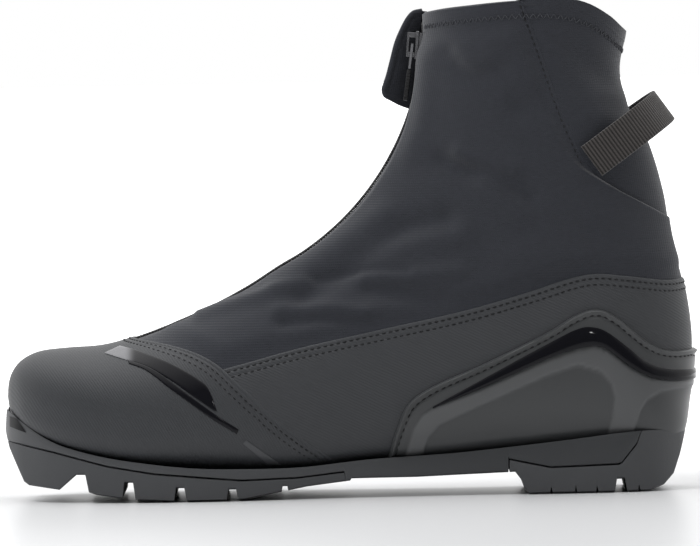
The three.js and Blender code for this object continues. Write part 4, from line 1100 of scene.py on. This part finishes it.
half = FLAP_THICK / 2 * roll
front = place_flap(flat[..., 0], -FLAP_THICK / 2 - bow * 0.5 - half - hem_line * roll, flat[..., 1])
back = place_flap(flat[..., 0], -FLAP_THICK / 2 - bow * 0.5 + half, flat[..., 1])
build_sheet("storm_flap", front, back, SOFTSHELL, body="zip_flap", replaces=["zip_flap"])
rise, across = np.meshgrid(np.linspace(-1, 41, 30), np.linspace(-1.2, 4.2, 8), indexing="ij")
strip = [place_flap(across, 0 * across + out, rise) for out in (-1.2, 0)]
build_sheet("storm_flap_seam_strip", *strip, SOFTSHELL)

# %% [markdown]
# ## Zip
# A coil zip is two tapes whose edges carry a bent nylon wire: each tooth is one loop of it. The slider and the
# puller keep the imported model's shape, with their edges rounded by a bevel.

# %% Zip tapes and teeth
start_u = vamp_outer[0, 0]
u = np.linspace(start_u - 0.012, end_u - 0.004, 200)
TOOTH_PITCH, TOOTH_REACH = 1.35, 2.1
crest = np.stack([u, 0 * u], -1)
crest_length = lengths(crest)[-1]
for side, sign in (("outer", 1), ("inner", -1)):
    widths = np.array([2.4, 2.6, 3.4, 5, 6.5, 8, 9.2, 9.4])
    angles = np.stack([at_width(u, w) for w in widths], -1) * sign
    places = np.repeat(u[:, None], len(widths), 1)
    point, out = body(places, angles), normal(places, angles)
    build_sheet(f"zip_tape_weave_{side}", point - 1.85 * out, point - 2.35 * out, COIL, replaces=[f"zip_tape_{side}"])
    at = np.arange(0.4 if sign > 0 else 0.4 + TOOTH_PITCH / 2, crest_length - 0.5, TOOTH_PITCH) / crest_length
    middle = even(crest, at)
    tooth_root = np.stack([middle[:, 0], sign * at_width(middle[:, 0], TOOTH_REACH)], -1)
    tooth_tip = np.stack([middle[:, 0], -sign * at_width(middle[:, 0], 0.25)], -1)
    out = normal(middle[:, 0], 0 * middle[:, 0])
    points, quads = thread(body(*tooth_root.T) - 1.1 * out, body(*tooth_tip.T) - 1.1 * out, out, 0.5)
    build(f"zip_teeth_{side}", points, quads, COIL, replaces=[f"zip_chain_{side}"], angle=180)
print("teeth each side:", len(at))


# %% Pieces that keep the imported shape
def rounded_copy(node, material, bevel, body_name="boot", angle=30):
    """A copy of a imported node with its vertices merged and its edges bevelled, which stands in for the node."""
    mesh = NODES[node].data.copy()
    work = bmesh.new()
    work.from_mesh(mesh)
    bmesh.ops.remove_doubles(work, verts=work.verts, dist=1e-5)
    bmesh.ops.dissolve_limit(work, angle_limit=0.01, verts=work.verts, edges=work.edges)
    work.to_mesh(mesh)
    work.free()
    mesh.materials.clear()
    mesh.materials.append(material)
    mesh.shade_smooth()
    mesh.set_sharp_from_angle(angle=np.radians(angle))
    piece = bpy.data.objects.new(f"{node}_rounded", mesh)
    bpy.context.scene.collection.objects.link(piece)
    if bevel:
        edge = piece.modifiers.new("edge", "BEVEL")
        edge.width, edge.segments, edge.limit_method, edge.angle_limit = bevel * MM, 2, "ANGLE", np.radians(angle)
        edge.harden_normals = True
    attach(piece, body_name)
    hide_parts(node)
    return piece


rounded_copy("zip_slider", ZIP_METAL, 0.25, "zip_slider")
rounded_copy("zip_puller", ZIP_METAL, 0.2, "zip_puller")
rounded_copy("zip_puller_grip", GRIP, 0.35, "zip_puller")
rounded_copy("toe_bar", STEEL, 0.3)
for side in ("outer", "inner"):
    for i in range(1, 6):
        rounded_copy(f"eyelet_{side}_{i}", ZIP_METAL, 0.0, angle=50)
print("rounded pieces done")

# %% [markdown]
# ## Padding
# Inside the shell are a foam lining, a padded tongue and a felt footbed. Foam swells between its seams, so the
# lining's height off the body rises and falls in shallow pads near the top line.


# %% Lining and tongue
def floor_angle(u, by):
    """The angle on the outer side where the body meets a floor a given height above its base line."""
    angles = np.linspace(np.pi / 2, np.pi, 300)
    point = body(u[:, None], angles[None])
    s = along(STATIONS, u)
    over = point[..., 2] > s[:, 3:4] + by
    return angles[np.minimum(over.cumprod(axis=1).sum(axis=1), len(angles) - 1)]


LINING_JOIN_U = float(locate([(-30, 30)])[0, 0])
LINING_TOP_U = 0.936
THROAT, HEM_COVER, FLOOR_DEPTH, PAD_DEPTH = 24.0, 1.2, 9.0, 26
for side, sign in (("outer", 1), ("inner", -1)):
    u = np.linspace(LINING_JOIN_U + 0.01, LINING_TOP_U, 130)
    upper = np.stack([u, at_width(u, THROAT)], -1)
    lower = np.stack([u, np.where(u > 0.62, np.pi, floor_angle(u, FLOOR_DEPTH))], -1)
    patch = cut(lower * (1, sign), upper * (1, sign), straight(lower[0], upper[0]) * (1, sign),
                straight(lower[-1], upper[-1]) * (1, sign), pitch=2.6, near=(EDGE_ROWS,) * 4)
    low = np.minimum(patch.top, patch.right)
    puff = 0.5 * np.sin(np.pi * np.clip(patch.right / PAD_DEPTH, 0, 1)) - 0.4 * bell(patch.right - PAD_DEPTH, 1.2)
    outer = patch.point - 3.0 * patch.out
    sink = 6.0 + puff - rolled(low, 1.2, 1.5)
    inner = patch.point - sink[..., None] * patch.out
    for face in (outer, inner):
        face[..., 2] = np.minimum(face[..., 2], np.interp(face[..., 0], *np.transpose(COLLAR_TOP)) - HEM_COVER)
    piece = build_sheet(f"padded_lining_{side}", outer, inner, LINING, replaces=[f"lining_{side}"])
u = np.linspace(0.035, LINING_JOIN_U, 60)
low_outer = np.stack([u, floor_angle(u, FLOOR_DEPTH)], -1)
patch = cut(straight(low_outer[0], low_outer[0] * (1, -1), 90), straight(low_outer[-1], low_outer[-1] * (1, -1), 90),
            low_outer, mirrored(low_outer), pitch=2.6)
piece = build_sheet("padded_lining_toe", patch.point - 3 * patch.out, patch.point - 6 * patch.out, LINING,
                    replaces=["lining_vamp"])

u = np.linspace(0.3, end_u - 0.006, 140)
edge_line = np.stack([u, at_width(u, 26.0)], -1)
patch = cut(straight(edge_line[0], mirrored(edge_line)[0]), straight(edge_line[-1], mirrored(edge_line)[-1]), edge_line,
            mirrored(edge_line), pitch=1.6, near=(EDGE_ROWS,) * 4)
quilt = 0.55 * np.abs(np.sin(np.pi * patch.top / 17)) ** 0.6 - 0.3
rim_roll = rolled(np.min([patch.left, patch.right, patch.top], axis=0), 1.2, 1.5)
piece = build_sheet("padded_tongue", patch.point - (6.2 - quilt + rim_roll)[..., None] * patch.out,
                    patch.point - (9.2 - rim_roll)[..., None] * patch.out, LINING, replaces=["tongue"])

# %% Footbed
x = np.linspace(-139, 132, 150)
base = line([(-160, 48), (-148.3, 40), (-144, 33), (-138.8, 28.2), (-130.5, 23.6), (-118.5, 19), (-103, 15.4), (-87, 12.8),
             (-66, 11.2), (-42, 10.2), (-18, 10.6), (8, 12.8), (34, 14.2), (60, 15.4), (114, 16.6), (138, 19), (160, 21)])
u_of = locate(np.stack([x, height_on(base, x) + 9.5], -1))
half_width = np.abs(body(*u_of.T)[:, 1]) - 7.4
rounding = [np.clip(distance / 5, 0.05, 1) ** 0.5 for distance in (x + 140, 132.5 - x)]
half_width = np.maximum(half_width, 0.5) * rounding[0] * rounding[1]
across = np.concatenate([[-1, -0.985, -0.96, -0.92], np.linspace(-0.86, 0.86, 31), [0.92, 0.96, 0.985, 1]])
bed = np.stack([np.repeat(x[:, None], len(across), 1), half_width[:, None] * across[None],
                height_on(base, x)[:, None] + 7.5 + 0 * across[None]], -1)
cup = np.abs(across) ** 4 * 1.6 - 1.2 * np.clip((np.abs(across) - 0.9) / 0.1, 0, 1) ** 2
top_face = bed + np.stack([0 * bed[..., 0], 0 * bed[..., 0], 3.2 + cup[None] + 0 * bed[..., 0]], -1)
piece = build_sheet("felt_footbed_pad", top_face, bed, FOOTBED, replaces=["footbed"])

# %% [markdown]
# ## Sole
# The sole is a cup of moulded plastic with two rubber treads under it. Each is a ring carried along the boot:
# over the top, down the outer wall, across the underside and up the inner wall. The underside is a height map:
# lugs, nicks, two guide grooves and the recess for the toe bar all raise it locally.

# %% Sole outline and underside
SOLE_HALF = along([(-149.6, 0), (-148.8, 9), (-146.3, 17), (-141, 25.5), (-130, 35.5), (-115, 43.5), (-95, 49), (-72, 51),
                   (-50, 49.5), (-25, 44), (5, 38.5), (40, 36.5), (75, 37.5), (100, 37.5), (118, 34.5), (131, 27.5),
                   (139.5, 17), (142.3, 8.5), (143, 0)], np.linspace(0, 1, 1500))
UNDERSIDE = np.array([
    (-149.6, 30), (-147.6, 22.5), (-141.2, 8.4), (-139, 6.9), (-125.6, 5.2), (-118.2, 11.6), (-114.4, 11.6), (-113, 4.2),
    (-110, 3.2), (-96, 1.2), (-78, 0), (-56, 0), (-46, 0.4), (-20, 5), (-1.6, 7), (-1, 7.9), (27, 7.9), (68.8, 9.3),
    (71.6, 5.6), (72.6, 2.2), (74.8, 0), (126.5, 0), (132.5, 2.2), (137, 6.8), (140, 15), (143, 25.4)])
LUG_GAPS = [(-98.4, -93.2, 8.2), (-76.4, -71.4, 5.6), (-54.2, -49.4, 4.6), (-31.2, -27.6, 5.4), (111.4, 116.4, 5.4)]
NICKS = [84, 94.5, 103.6, 121.6]
BAND_LINE = np.array([(-160, 28), (-128, 21), (-105, 15), (-85, 11.6), (-48, 8.2), (-24, 8.6), (-4, 10.6), (-3.4, 6)])
HEEL_LINE = np.array([(66, 14.6), (84, 10.8), (114, 11.6), (121, 20), (123.5, 27), (160, 27)])
ACROSS = np.array([0, 4, 8, 10.2, 10.6, 13.5, 16.4, 16.8, 16.98, 17.08, 20, 25, 30, 35, 40, 44, 47.5])


def centre_shift(x):
    return np.where(x < -60, 5 * (np.maximum(-60 - x, 0) / 90) ** 1.3, 0)


def half_of_sole(x):
    return height_on(SOLE_HALF, x)


def underside(x, y):
    """Height of the sole's underside at x along the boot and y from its centre line."""
    z = height_on(UNDERSIDE, x)
    for left, right, ceiling in LUG_GAPS:
        slope = (ceiling + 5) / 1.8
        z = np.maximum(z, np.minimum(np.minimum((x - left + 1) * slope, (right + 1 - x) * slope) - 5, ceiling))
    for at in NICKS:
        z = np.maximum(z, 2.6 - np.where(x < at, (at - x) * 7.6 / 1.2, (x - at) * 7.6 / 1.6))
    y = np.abs(y)
    z = np.where((np.abs(y - 13.5) < 3.1) & (x > -122) & (x < -14), np.maximum(z, 5.6), z)
    return np.where((y < 17.0) & (x < -126.6), np.maximum(z, 18.6), z)


SHADE_START, SHADE_RUN, TREAD_BULGE = -20, 90, 0.15


def sole_ring(name, x, low, high, material, replaces, bulge=0.35):
    """A closed body between heights low(x, y) and high(x), as wide as the sole."""
    half = np.maximum(half_of_sole(x), 0.02)[:, None]
    shift = centre_shift(x)[:, None]
    top = high[:, None]
    outer_low = low(x[:, None], half)
    height = np.maximum(top - outer_low, 0)
    soft = np.minimum(0.7, height / 3)
    levels = np.array([0, 0.08, 0.3, 0.5, 0.7, 0.92, 1])[None]
    wall_y = half + bulge * np.sin(np.pi * levels) * np.clip(height / 10, 0, 1)
    wall_z = outer_low + soft + (height - 2 * soft) * levels
    top_y = np.concatenate([0 * half, half * 0.5, np.maximum(half - 4, half * 0.8), np.maximum(half - 1.5, half * 0.9),
                            np.maximum(half - 0.7, half * 0.95), np.maximum(half - 0.2, half * 0.99)], 1)
    fall = np.array([6, 6, 2.5, 0.1, 0.02, 0.15])[None] * np.clip(height / 8, 0, 1)
    top_z = top - fall
    under_y = np.minimum(ACROSS[None], half * 0.97 - 0.6 * (half > 3))
    under_y = np.maximum(under_y, 0)
    under_z = np.minimum(low(x[:, None], under_y), top - fall.max(1, keepdims=True) * 0.5)
    y = np.concatenate([top_y, wall_y[:, ::-1], under_y[:, ::-1]], 1)
    z = np.concatenate([top_z, wall_z[:, ::-1], under_z[:, ::-1]], 1)
    outer = np.stack([np.repeat(x[:, None], y.shape[1], 1), shift - y, z], -1)
    inner = np.stack([np.repeat(x[:, None], y.shape[1], 1), shift + y, z], -1)[:, ::-1]
    ring = capped(np.concatenate([outer, inner], 1))
    paler = smoothstep((ring[..., 0].ravel() - SHADE_START) / SHADE_RUN)
    piece = build_ring(name, ring, material, replaces=replaces, angle=32, marks={"raised": paler})
    print(f"{name}: {len(piece.data.polygons)} faces")
    return piece


def places_along(start, end, pitch, marks):
    """Positions from start to end, with close pairs at each mark and close rows in lug gaps and nicks."""
    x = [np.arange(start, end, pitch), [start, end]]
    x += [np.array([m - 0.06, m + 0.06]) for m in marks]
    for left, right, _ in LUG_GAPS:
        x += [np.linspace(left - 1, left + 1, 11), np.linspace(right - 1, right + 1, 11)]
    x += [np.linspace(at - 1.3, at + 1.7, 11) for at in NICKS]
    x = np.unique(np.concatenate(x).round(3))
    return x[(x >= start) & (x <= end)]


TOE_TIP, HEEL_TIP, SEAM_GAP = -149.55, 142.95, 0.05
corners = [p[0] for p in UNDERSIDE] + [-126.6, -122, -14, -3.4, -4, 66, 121, 123.5]
band_x = places_along(TOE_TIP, 123.2, 1.5, corners)
band_x = np.unique(np.concatenate([band_x, np.linspace(TOE_TIP, -146, 14)]))


def feather(x):
    """Height of the sole's top edge, which falls away at the very tip of the toe."""
    return np.minimum(height_on(FEATHER, x), 30 + np.maximum(x - TOE_TIP, 0) * 9.5)


def band_floor(x, y):
    fore = np.where(x < -3.4, height_on(BAND_LINE, x) + SEAM_GAP, -9)
    heel = np.where(x > 66, height_on(HEEL_LINE, x) + SEAM_GAP, -9)
    return np.minimum(np.maximum(underside(x, y), np.maximum(fore, heel)), feather(x))


def fore_ceiling(x):
    return height_on(BAND_LINE, x) - SEAM_GAP


sole_ring("sole_band_cup", band_x, band_floor, feather(band_x), SOLE, ["sole_band"])
fore_x = places_along(-148.2, -3.5, 1.0, corners)
fore_top = fore_ceiling(fore_x)
sole_ring("tread_front_rubber", fore_x, lambda x, y: np.minimum(underside(x, y), fore_ceiling(x)), fore_top, TREAD,
          ["tread_front"], bulge=TREAD_BULGE)
heel_x = places_along(66.5, HEEL_TIP, 1.0, corners)
heel_top = np.minimum(height_on(HEEL_LINE, heel_x) - SEAM_GAP, feather(heel_x))
sole_ring("tread_heel_rubber", heel_x, lambda x, y: np.minimum(underside(x, y), np.interp(x, heel_x, heel_top)),
          heel_top, TREAD, ["tread_heel"], bulge=TREAD_BULGE)

WINDOW_TOP = np.array([(-147.4, 36.2), (-144, 35.4), (-140, 29.9)])
WINDOW_LOW = np.array([(-147.4, 31.8), (-144, 30.7), (-140, 29.5)])
x = np.linspace(-147.4, -140, 24)
low, high = np.interp(x, *WINDOW_LOW.T), np.interp(x, *WINDOW_TOP.T)
z = low[:, None] + (high - low)[:, None] * np.linspace(0, 1, 8)
x = np.repeat(x[:, None], 8, 1)
for side, sign in (("outer", -1), ("inner", 1)):
    faces = [np.stack([x, centre_shift(x) + sign * (half_of_sole(x) + out), z], -1) for out in (0.5, -0.3)]
    build_sheet(f"toe_window_{side}", *faces, SMOKED)

# %% [markdown]
# ## Hidden pieces
# The stiffeners, the board, the shank, the lace and its facings lie inside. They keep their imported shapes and
# take the finish of what they are made of.

# %% Finishes of hidden pieces
HIDDEN = {
    "toe_puff": STIFFENER, "heel_stiffener": STIFFENER, "lasting_board": BOARD, "shank": STEEL, "lace": LACE,
    "lace_facing_outer": FACING, "lace_facing_inner": FACING,
}
for node, material in HIDDEN.items():
    holder = NODES[node]
    if not holder.material_slots:
        holder.data.materials.append(material)
    holder.material_slots[0].link = "OBJECT"
    holder.material_slots[0].material = material
left = [n for n, o in NODES.items() if n not in HIDDEN and not o.hide_render]
print("packed nodes still shown without a finish:", left)

# %% [markdown]
# ## Studio
# A plain pale floor in a white room that is dim on the camera's side, so that polished parts stay dark. Behind the
# boot the floor glows white, painted light that fades it into the backdrop. A lamp above and one in front shape the
# boot, and a small one makes the glint in the inlay. The camera stands far off, level with the boot, so the side
# view is nearly flat.

# %% Floor, light and camera
scene = bpy.context.scene
paper = bpy.data.materials.new("studio_floor")
paper.use_nodes = True
paper.node_tree.nodes["Principled BSDF"].inputs["Base Color"].default_value = (0.78, 0.785, 0.795, 1)
paper.node_tree.nodes["Principled BSDF"].inputs["Roughness"].default_value = 0.3
floor_tree = paper.node_tree
# The floor glows white, from nothing 0.1 m behind the boot to 0.9 at 1 m: painted light that blends it into the white
# backdrop.
depth = wire(floor_tree, "ShaderNodeSeparateXYZ", {0: wire(floor_tree, "ShaderNodeTexCoord").outputs["Object"]})
floor_glow = wire(floor_tree, "ShaderNodeMapRange", {0: depth.outputs["Y"], 1: 0.1, 2: 1.0, 3: 0.0, 4: 0.9})
floor_tree.nodes["Principled BSDF"].inputs["Emission Color"].default_value = (1, 1, 1, 1)
floor_tree.links.new(floor_glow.outputs[0], floor_tree.nodes["Principled BSDF"].inputs["Emission Strength"])
bpy.ops.mesh.primitive_plane_add(size=60, location=(0, 0, -0.0004))
floor = bpy.context.object
floor.name = "floor"
floor.data.materials.append(paper)

ROOM_SHADE = 0.12
world = bpy.data.worlds.new("studio")
scene.world = world
world.use_nodes = True
sky = world.node_tree
sky.nodes["Background"].inputs["Color"].default_value = (1, 1, 1, 1)
toward = wire(sky, "ShaderNodeSeparateXYZ", {0: wire(sky, "ShaderNodeTexCoord").outputs["Generated"]})
behind = wire(sky, "ShaderNodeMapRange", {0: toward.outputs["Y"], 1: -0.5, 2: 0.2, 3: ROOM_SHADE, 4: 1.0})
overhead = wire(sky, "ShaderNodeMapRange", {0: toward.outputs["Z"], 1: 0.6, 2: 0.95, 3: 0.0, 4: 1.1})
glow = wire(sky, "ShaderNodeMath", {0: behind.outputs[0], 1: overhead.outputs[0]}, operation="ADD")
sky.links.new(glow.outputs[0], sky.nodes["Background"].inputs["Strength"])


def lamp(name, place, aim, size, power, glossy=True):
    data = bpy.data.lights.new(name, "AREA")
    data.shape, data.size, data.size_y, data.energy = "RECTANGLE", size[0], size[1], power
    holder = bpy.data.objects.new(name, data)
    scene.collection.objects.link(holder)
    holder.location = place
    holder.rotation_euler = Vector(np.subtract(aim, place)).to_track_quat("-Z", "Y").to_euler()
    holder.visible_glossy = glossy


lamp("lamp_above", (-0.7, -0.6, 1.2), (0, 0, 0.1), (0.6, 0.5), 9, glossy=False)
lamp("lamp_front", (-1.0, -1.7, 0.6), (0, 0, 0.1), (0.5, 0.7), 2, glossy=False)
lamp("lamp_glint", (0.75, -1.9, 0.95), (0.1, 0, 0.06), (0.1, 0.16), 1.6)

ROLL, DISTANCE, VIEW_WIDTH, EYE_HEIGHT = np.radians(1.097), 4.0, 0.301, 0.2
target = Vector((0, 0, 0.0945))
eye = Vector((0, -DISTANCE, EYE_HEIGHT))
back = (eye - target).normalized()
right = Vector((np.cos(ROLL), 0, -np.sin(ROLL)))
right = (right - back * right.dot(back)).normalized()
upward = back.cross(right)
lens = bpy.data.cameras.new("camera")
lens.sensor_width = 36
lens.lens = 36 * (eye - target).length / VIEW_WIDTH
lens.clip_start, lens.clip_end = 0.1, 50
camera = bpy.data.objects.new("camera", lens)
scene.collection.objects.link(camera)
camera.matrix_world = Matrix((right, upward, back)).transposed().to_4x4()
camera.location = eye
scene.camera = camera
scene.view_settings.view_transform = "Standard"
